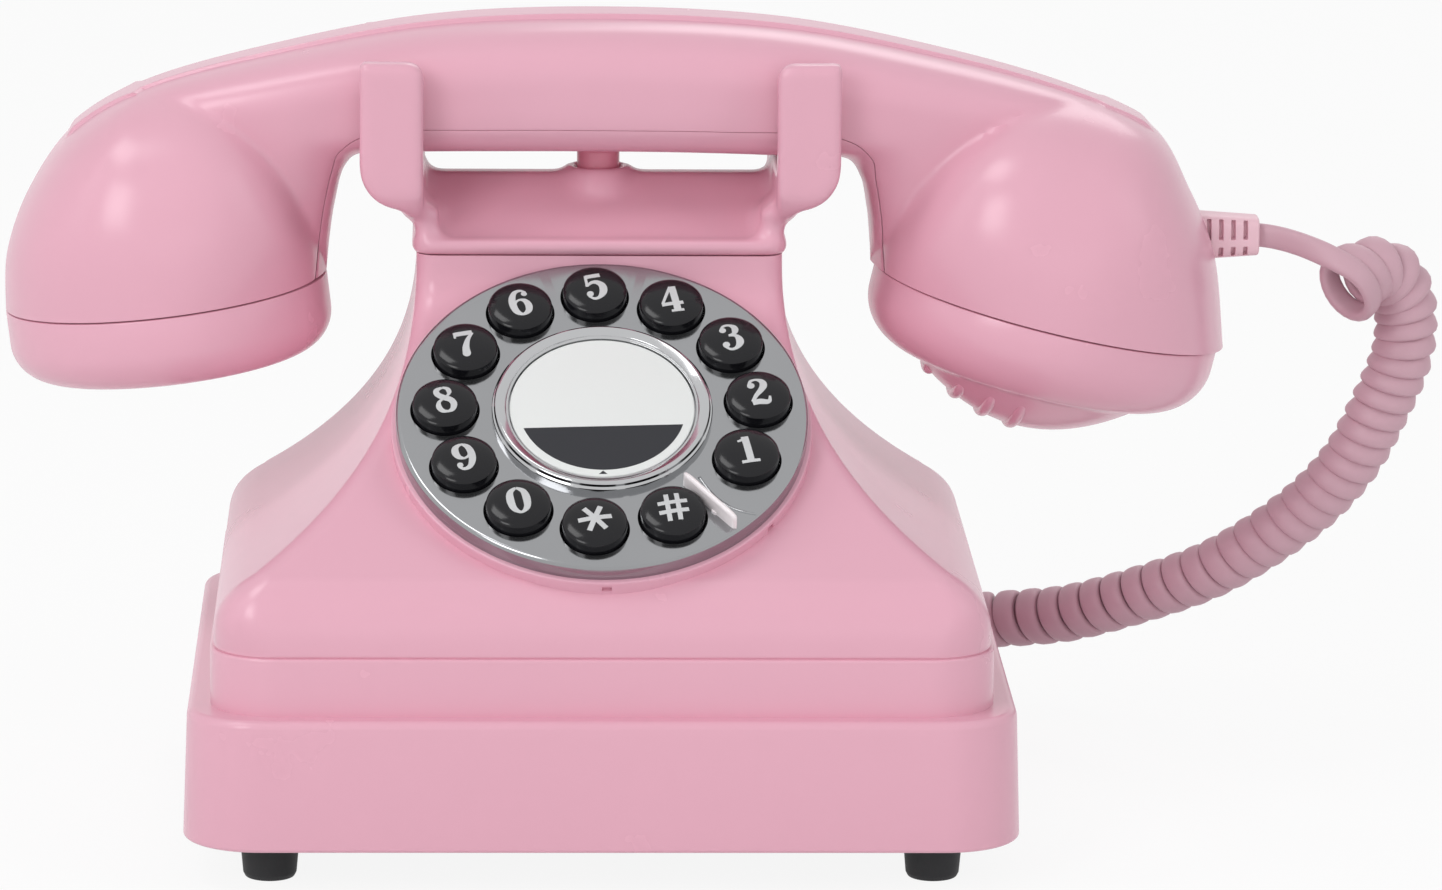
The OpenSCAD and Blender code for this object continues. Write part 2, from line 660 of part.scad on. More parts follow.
// A domed key with a flange under the plate and a stem that reaches to the membrane
module button(i) {
    stem_end = floor_n + button_travel + 0.15;
    flange_top = -dial_t - 0.2;
    crown = 1.2;
    color(BLACK) at_dial() rotate([0, 0, button_angle(i)]) translate([button_ring_r, 0, 0])
        rotate_extrude() polygon(concat(
            [[0, stem_end], [stem_d / 2, stem_end], [stem_d / 2, flange_top - flange_t],
             [flange_d / 2, flange_top - flange_t], [flange_d / 2, flange_top], [button_d / 2, flange_top],
             [button_d / 2, button_rise - crown]],
            [for (a = [15 : 15 : 90])
                [button_d / 2 * cos(a), button_rise - crown + crown * sin(a)]]));
}
module button_1() { button(0); }
module button_2() { button(1); }
module button_3() { button(2); }
module button_4() { button(3); }
module button_5() { button(4); }
module button_6() { button(5); }
module button_7() { button(6); }
module button_8() { button(7); }
module button_9() { button(8); }
module button_0() { button(9); }
module button_star() { button(10); }
module button_hash() { button(11); }

// ---------- cradle and hook ----------
horn_out = horn_in + horn_w;
ear_floor_z = handle_z - 1.9;
ear_under_z = saddle_z + 0.7;
ear_corner_r = 8;
horn_top_z = saddle_z + horn_h;
horn_y = horn_gap / 2;
cradle_w = neck_half_w - 0.2;
cradle_d = neck_half_d - 0.3;
ridge_z = saddle_z + ridge_h;
ridge_half = 3.2;
cheek_t = 3;
roof_hollow = 1.35;
roof_room = 10.5;
cradle_screw_x = 21;
cradle_boss_d = 8;
bracket_t = 2;
bracket_z = ledge_z - bracket_t;
plunger_foot_z = roof_z - plunger_travel - run;
plunger_flange_t = 1.5;
plunger_stem_d = 4;
plunger_tip_z = bracket_z - plunger_travel - 1.6;
lever_t = 2.8;
lever_pivot_x = -16;
lever_pin_d = 2.4;
lever_run = 0.08;
lever_z = plunger_tip_z - run - lever_t / 2;

// The side view of both horns and the ear between them, as seen along X
module ear_side() {
    difference() {
        round_plan(cradle_back - horn_y - horn_t, cradle_back + horn_y + horn_t,
            ear_under_z - 2, horn_top_z + 20, 6);
        translate([cradle_back - horn_y, ear_floor_z]) square([horn_gap, 60]);
        translate([cradle_back - 40, horn_top_z]) square([80, 60]);
    }
}

// The front view of one ear: rounded below outside, and rounded on its inner top corner
module ear_front() {
    top_r = 2.5;
    difference() {
        union() {
            translate([horn_in, ear_under_z + ear_corner_r]) square([horn_w, horn_top_z - ear_under_z - ear_corner_r]);
            translate([horn_in - 3, roof_z]) square([3 + horn_w - ear_corner_r, ear_under_z - roof_z + ear_corner_r]);
            translate([horn_out - ear_corner_r, ear_under_z + ear_corner_r]) circle(ear_corner_r);
        }
        translate([cradle_w - 0.1, roof_z - cut_over]) square([20, ear_under_z - roof_z + cut_over - 2]);
        difference() {
            translate([horn_in - 5, horn_top_z - top_r]) square([5 + top_r, top_r + cut_over]);
            translate([horn_in + top_r, horn_top_z - top_r]) circle(top_r);
        }
        translate([horn_in - 5, saddle_z + 3]) square([5, 60]);
        translate([horn_in - 3, saddle_z + 3]) circle(3);
    }
}

// The roof between the ears: it sweeps up in a hollow curve from the lip to a ridge under the handle
module cradle_roof() {
    foot = cradle_d - 0.5;
    side = [for (k = [0 : 8]) let (t = k / 8)
        [foot + (ridge_half - foot) * t, lip_top_z - 0.3 + (ridge_z - 0.8 - lip_top_z + 0.3) * pow(t, roof_hollow)]];
    translate([-cradle_w, cradle_back, 0]) rotate([90, 0, 90]) linear_extrude(2 * cradle_w)
        polygon(concat(
            [[foot, neck_top_z + 0.5]], side, [[ridge_half - 0.8, ridge_z]],
            [[0.8 - ridge_half, ridge_z]],
            [for (k = [8 : -1 : 0]) [-side[k][0], side[k][1]]],
            [[-foot, neck_top_z + 0.5]]));
}

module cradle() {
    color(PINK) difference() {
        union() {
            round_slab(-neck_half_w - lip_out, neck_half_w + lip_out, neck_front_y - lip_out,
                neck_rear_y + lip_out, 4, neck_top_z, lip_top_z);
            cradle_roof();
            for (s = [0, 1]) mirror([s, 0, 0]) {
                round_slab(cradle_w - cheek_t, cradle_w, cradle_back - cradle_d, cradle_back + cradle_d, 1.3,
                    lip_top_z - 0.5, saddle_z + 1);
                difference() {
                    intersection() {
                        rotate([90, 0, 90]) translate([0, 0, horn_in - 6]) linear_extrude(horn_w + 10) ear_side();
                        translate([0, cradle_back + 40, 0]) rotate([90, 0, 0]) linear_extrude(80) ear_front();
                    }
                    for (y = [cradle_back - cradle_d - 20, cradle_back + cradle_d])
                        translate([horn_in - 10, y, roof_z - 1]) cube([10, 20, 20]);
                }
            }
            translate([0, cradle_back, ridge_z - 3])
                cylinder(r1 = boss_r + 2.4, r2 = boss_r, h = boss_top_z - ridge_z + 3);
        }
        round_slab(cradle_t + 1 - cradle_w, cradle_w - cradle_t - 1, cradle_back - roof_room,
            cradle_back + roof_room, 2, neck_top_z - cut_over, roof_z);
        bore(0, cradle_back, roof_z - cut_over, boss_top_z + cut_over, plunger_d + 2 * run);
    }
    color(PINK) for (x = [-cradle_screw_x, cradle_screw_x]) difference() {
        bore(x, cradle_back, ledge_z, roof_z + 0.5, cradle_boss_d);
        bore(x, cradle_back, ledge_z - cut_over, roof_z - 2, screw_d + 2 * thread_fit);
    }
}

// The bracket lies under the ledge inside the neck and is drawn up by two screws
module switch_bracket() {
    half_x = half_w(ledge_z) - shell_t - 1.6;
    lug_y = 5;
    lug_t = 2;
    leg_x = 12;
    color(STEEL) difference() {
        union() {
            round_slab(-half_x, half_x, neck_front_y + neck_t + 2, neck_rear_y - shell_t - 0.5, 1.5,
                bracket_z, ledge_z);
            for (s = [-1, 1])
                translate([lever_pivot_x - 3, cradle_back + s * lug_y - lug_t / 2, lever_z - 3])
                    cube([6, lug_t, bracket_z - lever_z + 3.5]);
            translate([leg_x, cradle_back - 4, lever_z - 12]) cube([lug_t, 8, bracket_z - lever_z + 12.5]);
        }
        bore(0, cradle_back, bracket_z - cut_over, ledge_z + cut_over, plunger_stem_d + 2 * run);
        for (x = [-cradle_screw_x, cradle_screw_x])
            bore(x, cradle_back, bracket_z - cut_over, ledge_z + cut_over, screw_d + 2 * fit);
        translate([lever_pivot_x, cradle_back - 10, lever_z]) rotate([-90, 0, 0])
            cylinder(d = lever_pin_d + 2 * thread_fit, h = 20);
    }
}

module cradle_screws() {
    color(STEEL) for (x = [-cradle_screw_x, cradle_screw_x])
        screw_up(x, cradle_back, bracket_z - screw_head_h, roof_z - 3);
}

module hook_plunger() {
    crown = 0.8;
    top = handle_z - run;
    color([0.85, 0.52, 0.60]) translate([0, cradle_back, 0]) rotate_extrude() polygon([
        [0, plunger_tip_z], [plunger_stem_d / 2, plunger_tip_z],
        [plunger_stem_d / 2, plunger_foot_z - plunger_flange_t],
        [plunger_d / 2 + 1.8, plunger_foot_z - plunger_flange_t], [plunger_d / 2 + 1.8, plunger_foot_z],
        [plunger_d / 2, plunger_foot_z], [plunger_d / 2, top - crown], [plunger_d / 2 - crown, top], [0, top]]);
}

// A coil spring between the bracket and the plunger's flange
spring_wire = 0.7;
spring_turns = 3;
module plunger_spring() {
    z0 = ledge_z + spring_wire / 2;
    z1 = plunger_foot_z - plunger_flange_t - spring_wire / 2;
    steps = 16 * spring_turns;
    route = [for (i = [0 : steps])
        [3.3 * cos(22.5 * i), cradle_back + 3.3 * sin(22.5 * i), lerp(z0, z1, i / steps)]];
    color(STEEL) tube(route, spring_wire / 2, 6, [0, 0, 1]);
}

module hook_lever() {
    tip_x = 4.5;
    color(STEEL) difference() {
        union() {
            translate([lever_pivot_x, cradle_back - 3, lever_z - lever_t / 2])
                cube([tip_x - lever_pivot_x, 6, lever_t]);
            translate([lever_pivot_x, cradle_back - 3, lever_z]) rotate([-90, 0, 0]) cylinder(d = 5, h = 6);
        }
        translate([lever_pivot_x, cradle_back - 10, lever_z]) rotate([-90, 0, 0])
            cylinder(d = lever_pin_d + 2 * lever_run, h = 20);
    }
}

module lever_pin() {
    color(STEEL) translate([lever_pivot_x, cradle_back - 6.5, lever_z]) rotate([-90, 0, 0])
        cylinder(d = lever_pin_d, h = 13);
}

// A small switch on the bracket's leg, with its button under the lever's tip
module hook_switch() {
    color(BLACK) {
        translate([-6, cradle_back - 3.2, lever_z - 11.5]) cube([18, 6.4, 8]);
        bore(2, cradle_back, lever_z - 4, lever_z - lever_t / 2 - run, 2);
    }
}

// ---------- handset ----------
ring_steps = 3;
middle_z = handle_z + handle_h;
web = handle_w / 2;

// Stations along the handset, from the ear cup's rim to the mouth cup's rim, in X and Z:
// a point on the outer outline, a point on the inner outline, the half width of the cup's dome there,
// the half width of the handle's box section, and the angle at which the strip's seam lies
ear_out = [-109.8, 89.3];
ear_in = [-50.9, 96.4];
mouth_in = [49.3, 98.4];
mouth_out = [114.7, 82.9];
stations = [
    [ear_out, ear_in, ear_r, 0, 20],
    [[-109.4, 100], [-50.2, 103.5], ear_r - 1.2, 0.65 * web, 20],
    [[-105.2, 111.6], [-49.2, 110], ear_r - 4.8, 0.95 * web, 21],
    [[-97.2, 122.6], [-47.4, 116.6], ear_r - 12, web, 26],
    [[-84, 130.5], [-43.5, handle_z - 0.2], 6, web, 38],
    [[-62, 136.8], [-34, handle_z], 0, web, 52],
    [[-32, middle_z - 1.4], [-18, handle_z], 0, web, 56],
    [[0.5, middle_z], [0, handle_z], 0, web, 56],
    [[33, middle_z - 1.6], [18, handle_z - 0.2], 0, web, 56],
    [[62, 136.9], [34, handle_z - 0.6], 0, web, 52],
    [[85, 130.6], [43.5, handle_z - 1], 6, web, 38],
    [[101, 123.3], [47.1, 114.6], mouth_r - 15, web, 26],
    [[107.8, 112.4], [48.6, 108], mouth_r - 6.2, 0.95 * web, 21],
    [[112.7, 100], [49.1, 103], mouth_r - 2.1, 0.65 * web, 20],
    [mouth_out, mouth_in, mouth_r, 0, 20]
];
outer_line = curve([for (s = stations) s[0]], ring_steps);
inner_line = curve([for (s = stations) s[1]], ring_steps);
dome_line = curve([for (s = stations) s[2]], ring_steps);
web_line = curve([for (s = stations) s[3]], ring_steps);
seam_line = curve([for (s = stations) s[4]], ring_steps);
ring_count = len(outer_line);

// Half width at angle a of section k: the cup's circle and the handle's box section, softly joined
function section_y(k, a) =
    let (dome = max(0, dome_line[k]) * abs(sin(a)),
         box = max(0, web_line[k]) * pow(1 - pow(abs(cos(a)), 4), 0.25))
    pow(pow(dome, 5) + pow(box, 5), 0.2);

// Point at angle a of section k, inside the outer surface by t and raised by lift
function section_point(k, a, t, lift) =
    let (o = outer_line[k], i = inner_line[k], mid = (o + i) / 2, half = norm(o - i) / 2,
         widest = section_y(k, 90), across = -cos(a) * (half - t + lift),
         p = mid + unit(o - i) * across,
         y = (sin(a) < 0 ? -1 : 1) * section_y(k, a) * (1 - t / widest))
    [p[0] + handset_right, cradle_back + y, p[1]];

// The spine is raised from the third station at each end, and sinks away before the rims
function spine_at(k) = spine_h * clamp(k / ring_steps - 2) * clamp(12 - k / ring_steps);
shell_side = 10;

function shell_angles(k) = let (a0 = seam_line[k] + 0.4)
    [for (j = [0 : shell_side]) lerp(a0, 180 - spine_angle, j / shell_side)];
function shell_ring(k) =
    let (side = shell_angles(k), n = shell_side, h = spine_at(k), s = spine_angle - 0.8)
    concat(
        [for (a = side) section_point(k, a, 0, 0)],
        [for (a = [180 - s, 180, 180 + s]) section_point(k, a, 0, h)],
        [for (j = [n : -1 : 0]) section_point(k, 360 - side[j], 0, 0)],
        [for (a = side) section_point(k, 360 - a, handset_t, 0)],
        [for (a = [180 + s, 180, 180 - s]) section_point(k, a, handset_t, 0)],
        [for (j = [n : -1 : 0]) section_point(k, side[j], handset_t, 0)]);
strip_side = 4;
function strip_ring(k) =
    let (a0 = seam_line[k] - 0.4, n = strip_side)
    concat(
        [for (j = [-n : n]) section_point(k, a0 * j / n, 0, 0)],
        [for (j = [n : -1 : -n]) section_point(k, a0 * j / n, handset_t, 0)]);

relief_z = 103.3;
relief_x0 = mouth_out[0] - 9.5 + handset_right;
relief_x1 = mouth_out[0] - 5.3 + handset_right;
relief_tip_x = relief_x1 + relief_l;

module handset_shell() {
    color(PINK) difference() {
        c_loft([for (k = [0 : ring_count - 1]) shell_ring(k)]);
        translate([relief_x0 - 3, cradle_back, relief_z]) rotate([0, 90, 0])
            cylinder(d = relief_d + 2 * fit, h = 12);
    }
}

handset_screw_x = 20;
weight_z = handle_z + handset_t + run;
module handset_inner_strip() {
    color(PINK) difference() {
        c_loft([for (k = [0 : ring_count - 1]) strip_ring(k)]);
        for (s = [-1, 1]) {
            bore(s * handset_screw_x + handset_right, cradle_back, handle_z - 3, weight_z + cut_over,
                screw_d + 2 * fit);
            bore(s * handset_screw_x + handset_right, cradle_back, handle_z - 3,
                handle_z + screw_head_h + 0.3, screw_head_d + 2 * fit);
        }
    }
}

module handset_weight() {
    color(STEEL) difference() {
        round_slab(-32 + handset_right, 32 + handset_right, cradle_back - 8, cradle_back + 8, 2,
            weight_z, weight_z + 9);
        for (s = [-1, 1])
            bore(s * handset_screw_x + handset_right, cradle_back, weight_z - cut_over, weight_z + 7,
                screw_d + 2 * thread_fit);
    }
}

module handset_screws() {
    color(STEEL) for (s = [-1, 1])
        screw_up(s * handset_screw_x + handset_right, cradle_back, handle_z + 0.3, weight_z + 6);
}

// Frame of a cup: its origin at the middle of the rim and Z along the cup's axis, into the cup
module at_cup(outer, inner) {
    mid = (outer + inner) / 2;
    lean_angle = atan2(abs(outer[0] - inner[0]), outer[1] - inner[1]);
    side = outer[0] < inner[0] ? -1 : 1;
    translate([mid[0] + handset_right, cradle_back, mid[1]])
        rotate([0, side * (lean_angle - 90), 0]) children();
}
seam = 0.3;
sleeve_h = 3;
sleeve_gap = 1.7;

// Profile of a cap as a closed outline: skirt, round corner, face, and the same inside, with a sleeve
module cap_profile(r, depth, corner, bulge, face_r) {
    sleeve_r = r - handset_t - sleeve_gap;
    inner_r = sleeve_r - 1.4;
    polygon(concat(
        [[inner_r, sleeve_h], [sleeve_r, sleeve_h], [sleeve_r, -seam], [r, -seam],
         [r, corner - depth]],
        [for (a = [15 : 15 : 90])
            [r - corner + corner * cos(a), corner - depth - corner * sin(a)]],
        [for (k = [0 : 4]) [face_r * (1 - k / 4), -depth - bulge * (1 - pow(1 - k / 4, 2))]],
        [[0, handset_t - depth - bulge]],
        [for (k = [3 : -1 : 0]) [face_r * (1 - k / 4), handset_t - depth - bulge * (1 - pow(1 - k / 4, 2))]],
        [[inner_r - 4, handset_t - depth], [inner_r, 2 * handset_t + 1 - depth]]));
}

module ear_cap() {
    color(PINK) at_cup(ear_out, ear_in) difference() {
        rotate_extrude() cap_profile(ear_r, ear_cap_h, 7, 0, ear_r - 8);
        for (ring = [0 : 2], k = [0 : max(0, 6 * ring - 1)])
            rotate([0, 0, ring == 0 ? 0 : 60 * k / ring]) bore(4.2 * ring, 0, -ear_cap_h - 1, 1 - ear_cap_h + handset_t, 1.8);
    }
}

mic_r = 11;
receiver_r = ear_r - 10.7;
mic_seat = 2;
module mouth_cap() {
    color(PINK) at_cup(mouth_out, mouth_in) difference() {
        union() {
            rotate_extrude() cap_profile(mouth_r, mouth_cap_h, 9.5, grille_bulge, mouth_r - 10);
            translate([0, 0, handset_t - mouth_cap_h - grille_bulge - 0.5]) difference() {
                cylinder(r = mic_r + 1.5, h = grille_bulge + mic_seat);
                translate([0, 0, -1]) cylinder(r = mic_r - 1, h = grille_bulge + 8);
            }
        }
        for (ring = [0 : 1], k = [0 : max(0, 6 * ring - 1)])
            rotate([0, 0, ring == 0 ? 0 : 60 * k / ring])
                bore(6 * ring, 0, -mouth_cap_h - grille_bulge - 1, 4 - mouth_cap_h, 2);
    }
}

module receiver_capsule() {
    color([0.2, 0.2, 0.2]) at_cup(ear_out, ear_in) {
        bore(0, 0, handset_t - ear_cap_h, handset_t - ear_cap_h + 5, 2 * receiver_r);
        bore(0, 0, handset_t - ear_cap_h + 4.5, 1, 2 * receiver_r - 16);
    }
}

module microphone_capsule() {
    seat_z = handset_t - mouth_cap_h - 0.5 + mic_seat;
    color([0.2, 0.2, 0.2]) at_cup(mouth_out, mouth_in) {
        bore(0, 0, seat_z, seat_z + 6, 2 * mic_r);
        bore(0, 0, seat_z + 5.5, seat_z + 8, 2 * mic_r - 8);
    }
}

// The grommet sits in the cup's wall with a flange inside, and tapers to the cord
slot_rows = 4;
module strain_relief() {
    pitch = (relief_l - 2.4) / slot_rows;
    color([0.94, 0.75, 0.79]) difference() {
        translate([0, cradle_back, relief_z]) rotate([0, 90, 0]) {
            translate([0, 0, relief_x0 - 2]) cylinder(d = relief_d, h = relief_x1 - relief_x0 + 2.5);
            translate([0, 0, relief_x1]) cylinder(d1 = relief_d, d2 = relief_tip_d, h = relief_l);
        }
        for (k = [0 : slot_rows - 1], s = [-1, 1])
            translate([relief_x1 + 1.6 + pitch * k, cradle_back + s * (relief_d / 2 + 1.2) - 1.9, relief_z - 1.8])
                cube([1.1, 3.8, 3.6]);
    }
}

// ---------- cord ----------
lead_points = [
    [relief_tip_x + 0.2, cradle_back, relief_z], [126, 22, 103], [131, 20.5, 102], [135, 19, 100], [138, 19, 97]
];
coil_points = [
    [138, 19, 94], [142.3, 22, 96.6], [146.5, 24.2, 96], [149.6, 25.8, 91.2], [150.2, 26.4, 84],
    [149.2, 27.2, 78], [146, 28.6, 69.5], [141.5, 31, 59.5], [135, 34.5, 50.5], [126, 39, 42], [116, 44.6, 34.6],
    [104, 52.5, 28.2], [92, 61, 22.8], [83, 67.2, 20.3], [75, 71.6, 18.6], [62, 73.5, 15.5],
    [50, 74.5, 13], [38, 75, 11]
];
plug_back_y = rear_face_y + 8.5;
jack_mid_z = jack_z + jack_h / 2;
tail_points = [
    [38, 75, 11], [30, 77, 12], [22, 81, 14.5], [14, 83.5, 18], [7, 82, 21], [4.4, 77, 22.8],
    [handset_jack_x, plug_back_y, jack_mid_z]
];

module cord_lead() { color(CORD_PINK) tube(curve(lead_points, 2), cord_d / 2, 10, [0, 1, 0]); }
module cord_coil() { color(CORD_PINK) tube(curve(coil_points, 2), coil_d / 2, 12, [0, 1, 0]); }
module cord_tail() { color(CORD_PINK) tube(curve(tail_points, 2), cord_d / 2, 10, [0, 0, 1]); }

module handset_plug() {
    plug_w = socket_w - 2 * fit;
    plug_h = socket_h - 2 * fit;
    front = rear_face_y + plinth_draft - socket_depth + 0.3;
    color([0.75, 0.7, 0.72]) {
        translate([handset_jack_x - plug_w / 2, front, jack_mid_z - plug_h / 2])
            cube([plug_w, plug_back_y - front, plug_h]);
        translate([handset_jack_x - 1.6, front + 3, jack_mid_z + plug_h / 2 - 0.1]) cube([3.2, 12, 0.3]);
    }
}

base_plinth();
bottom_plate();
upper_housing();
cradle();
switch_bracket();
foot_front_left();
foot_front_right();
foot_rear_left();
foot_rear_right();
dial_plate();
hub_ring();
centre_disc();
finger_stop();
keypad_membrane();
keypad_board();
button_1();
button_2();
button_3();
button_4();
button_5();
button_6();
button_7();
button_8();
button_9();
button_0();
button_star();
button_hash();
hook_plunger();
plunger_spring();
hook_lever();
lever_pin();
hook_switch();
main_board();
ringer_speaker();
ballast_weight();
handset_jack();
line_jack();
base_screws();
housing_screws();
cradle_screws();
board_screws();
dial_screws();
handset_shell();
handset_inner_strip();
ear_cap();
mouth_cap();
receiver_capsule();
microphone_capsule();
handset_weight();
handset_screws();
strain_relief();
cord_lead();
cord_coil();
cord_tail();
handset_plug();
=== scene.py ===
"""Looks of a retro push-button desk telephone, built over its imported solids.

Lengths in the tables are millimetres, as in the part's source. A piece's points become metres
when its mesh is filled, and every piece stays at the origin with its place in its mesh.
"""
import math

import bmesh
import bpy
import numpy as np
from mathutils import Matrix, Vector


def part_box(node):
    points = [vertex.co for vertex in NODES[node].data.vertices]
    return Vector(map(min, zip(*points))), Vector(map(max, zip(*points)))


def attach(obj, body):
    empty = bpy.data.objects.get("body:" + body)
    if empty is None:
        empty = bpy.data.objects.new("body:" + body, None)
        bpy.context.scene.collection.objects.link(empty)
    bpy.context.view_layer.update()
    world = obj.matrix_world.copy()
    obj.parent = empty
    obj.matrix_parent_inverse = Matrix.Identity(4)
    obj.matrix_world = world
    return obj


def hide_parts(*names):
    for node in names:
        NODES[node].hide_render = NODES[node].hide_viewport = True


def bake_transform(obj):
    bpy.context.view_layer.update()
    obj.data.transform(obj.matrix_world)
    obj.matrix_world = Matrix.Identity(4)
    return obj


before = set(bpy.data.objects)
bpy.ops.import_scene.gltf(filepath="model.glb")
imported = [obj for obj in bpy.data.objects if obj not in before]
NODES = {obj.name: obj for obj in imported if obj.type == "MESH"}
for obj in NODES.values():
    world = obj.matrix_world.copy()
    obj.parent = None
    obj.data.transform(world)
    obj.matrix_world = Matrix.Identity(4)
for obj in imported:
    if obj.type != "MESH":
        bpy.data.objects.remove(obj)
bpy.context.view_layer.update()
MM = 0.001

# ---------- camera, floor and lamps ----------
EYE = (-0.02635, -1.39162, 0.35939)
LOOK = Vector((0.03418, 0.97822, -0.20474)).normalized()
UP = Vector((-0.002, 0.20493, 0.97878))


def aimed(obj, eye, look, up):
    """Stands obj at eye with its -Z along look and its Y near up."""
    right = Vector(look).cross(Vector(up)).normalized()
    top = right.cross(Vector(look))
    turn = Matrix((right, top, -Vector(look))).transposed().to_4x4()
    obj.matrix_world = Matrix.Translation(eye) @ turn


def link(name, data):
    obj = bpy.data.objects.new(name, data)
    bpy.context.scene.collection.objects.link(obj)
    return obj


camera = link("camera", bpy.data.cameras.new("camera"))
camera.data.lens = 194.8
camera.data.sensor_width = 36
camera.data.clip_start, camera.data.clip_end = 0.1, 50
aimed(camera, EYE, LOOK, UP)
bpy.context.scene.camera = camera
bpy.context.scene.view_settings.view_transform = "Standard"


def lamp(name, place, target, width, height, power, mirrored=True):
    """A soft rectangular lamp in metres that faces target. Gloss shows it only where mirrored."""
    data = bpy.data.lights.new(name, "AREA")
    data.shape = "RECTANGLE"
    data.size, data.size_y, data.energy = width, height, power
    obj = link(name, data)
    aimed(obj, place, (Vector(target) - Vector(place)).normalized(), (0, 0, 1))
    obj.visible_glossy = mirrored
    return obj


MIDDLE = (0, 0, 0.07)
lamp("lamp_left_strip", (-1.25, -0.45, 0.72), MIDDLE, 0.25, 0.9, 3, False)
lamp("lamp_front_left", (-0.92, -1.45, 0.92), MIDDLE, 0.65, 0.8, 7.6)
lamp("lamp_top_left", (-0.6, -0.35, 1.35), MIDDLE, 0.6, 0.45, 3.6)
lamp("lamp_front_low", (0.15, -1.8, 0.3), MIDDLE, 1.2, 0.4, 3.6, False)
lamp("lamp_right", (1.3, -0.7, 0.9), MIDDLE, 0.7, 0.9, 5.5, False)
lamp("lamp_back", (0.5, 1.4, 1.3), MIDDLE, 1.0, 0.7, 5)


# ---------- finishes ----------
class Value:
    """A number that a shader works out. Arithmetic on it adds Math nodes."""

    def __init__(self, finish, socket):
        self.finish, self.socket = finish, socket

    def maths(self, operation, *terms):
        node = self.finish.add("ShaderNodeMath", {"operation": operation}, *terms)
        return Value(self.finish, node.outputs[0])

    def __add__(self, other):
        return self.maths("ADD", self, other)

    def __radd__(self, other):
        return self.maths("ADD", other, self)

    def __sub__(self, other):
        return self.maths("SUBTRACT", self, other)

    def __rsub__(self, other):
        return self.maths("SUBTRACT", other, self)

    def __mul__(self, other):
        return self.maths("MULTIPLY", self, other)

    def __rmul__(self, other):
        return self.maths("MULTIPLY", other, self)

    def __truediv__(self, other):
        return self.maths("DIVIDE", self, other)

    def __gt__(self, other):
        return self.maths("GREATER_THAN", self, other)

    def power(self, other):
        return self.maths("POWER", self, other)

    def clamped(self):
        node = self.finish.add("ShaderNodeClamp", {}, self)
        return Value(self.finish, node.outputs[0])


class Finish:
    """One material: its nodes, and the shader that they feed."""

    def __init__(self, name, **fixed):
        self.material = bpy.data.materials.new(name)
        self.material.use_nodes = True
        self.tree = self.material.node_tree
        self.tree.nodes.clear()
        self.shader = self.add("ShaderNodeBsdfPrincipled")
        output = self.add("ShaderNodeOutputMaterial")
        self.tree.links.new(self.shader.outputs[0], output.inputs[0])
        for socket, value in fixed.items():
            self.feed(socket.replace("_", " "), value)

    def add(self, kind, settings=None, *values, **named):
        """Adds a node of that kind: its settings first, then the values or links of its sockets."""
        node = self.tree.nodes.new(kind)
        for key, value in (settings or {}).items():
            setattr(node, key, value)
        for key, value in [*enumerate(values), *named.items()]:
            socket = node.inputs[key if isinstance(key, int) else key.replace("_", " ")]
            self.put(socket, value)
        return node

    def put(self, socket, value):
        if isinstance(value, Value):
            value = value.socket
        if isinstance(value, bpy.types.NodeSocket):
            self.tree.links.new(value, socket)
        elif isinstance(value, tuple) and socket.type == "RGBA" and len(value) == 3:
            socket.default_value = (*value, 1)
        else:
            socket.default_value = value

    def feed(self, socket, value):
        """Gives one of the shader's own sockets its value or link."""
        self.put(self.shader.inputs[socket], value)

    def place(self):
        return self.add("ShaderNodeTexCoord").outputs["Object"]

    def noise(self, scale, detail=2.0, roughness=0.5, stretch=None):
        """Soft noise from 0 to 1 over the piece, with scale features in a metre."""
        vector = self.place()
        if stretch:
            scaled = self.add("ShaderNodeVectorMath", {"operation": "MULTIPLY"}, vector, stretch)
            vector = scaled.outputs[0]
        node = self.add("ShaderNodeTexNoise", {}, Vector=vector, Scale=scale, Detail=detail,
                        Roughness=roughness)
        return Value(self, node.outputs[0])

    def mix(self, factor, a, b):
        """A colour between a and b."""
        node = self.add("ShaderNodeMix", {"data_type": "RGBA"})
        for index, value in ((0, factor), (6, a), (7, b)):
            self.put(node.inputs[index], value)
        return node.outputs[2]

    def bump(self, height, distance, strength=1.0):
        """Raises the surface by height times distance, in metres."""
        node = self.add("ShaderNodeBump", {}, Height=height, Distance=distance, Strength=strength)
        self.feed("Normal", node.outputs[0])


def shade(colour, k):
    return tuple(min(1.0, c * k) for c in colour)


def moulded(name, colour, rough, drift=0.03, ripple=0.000006, grain=0.0, **fixed):
    """Moulded plastic: a tone that drifts, an uneven gloss, and a faint ripple and grain on the skin."""
    f = Finish(name, **fixed)
    broad, fine = f.noise(14, 3), f.noise(2600, 2)
    mottle = (broad * 0.75 + fine * 0.25).clamped()
    f.feed("Base Color", f.mix(mottle, shade(colour, 1 - drift), shade(colour, 1 + drift)))
    f.feed("Roughness", rough * 0.85 + f.noise(55, 4) * (rough * 0.3))
    f.bump(f.noise(170, 2) * ripple + fine * grain, 1.0)
    return f.material


def metal(name, colour, rough, lines=0.0, speck_and_sheen=0.04, **fixed):
    """Metal with a faint smear in its colour, the real unevenness of its polish, which on the dial chrome is
    also a painted reflection. It has drawn lines where the real one has them.
    """
    f = Finish(name, Metallic=1.0, **fixed)
    smear_and_painted_reflection = f.noise(38, 4)
    # the smear shifts the colour: real unevenness of the polish, and on the dial chrome partly a painted
    # reflection
    f.feed("Base Color", f.mix(smear_and_painted_reflection, shade(colour, 1 - speck_and_sheen), shade(colour, 1 + speck_and_sheen)))
    f.feed("Roughness", rough * 0.8 + smear_and_painted_reflection * (rough * 0.4))
    if lines:
        f.bump(f.noise(900, 2, stretch=(1, 0.03, 1)), lines)
    return f.material


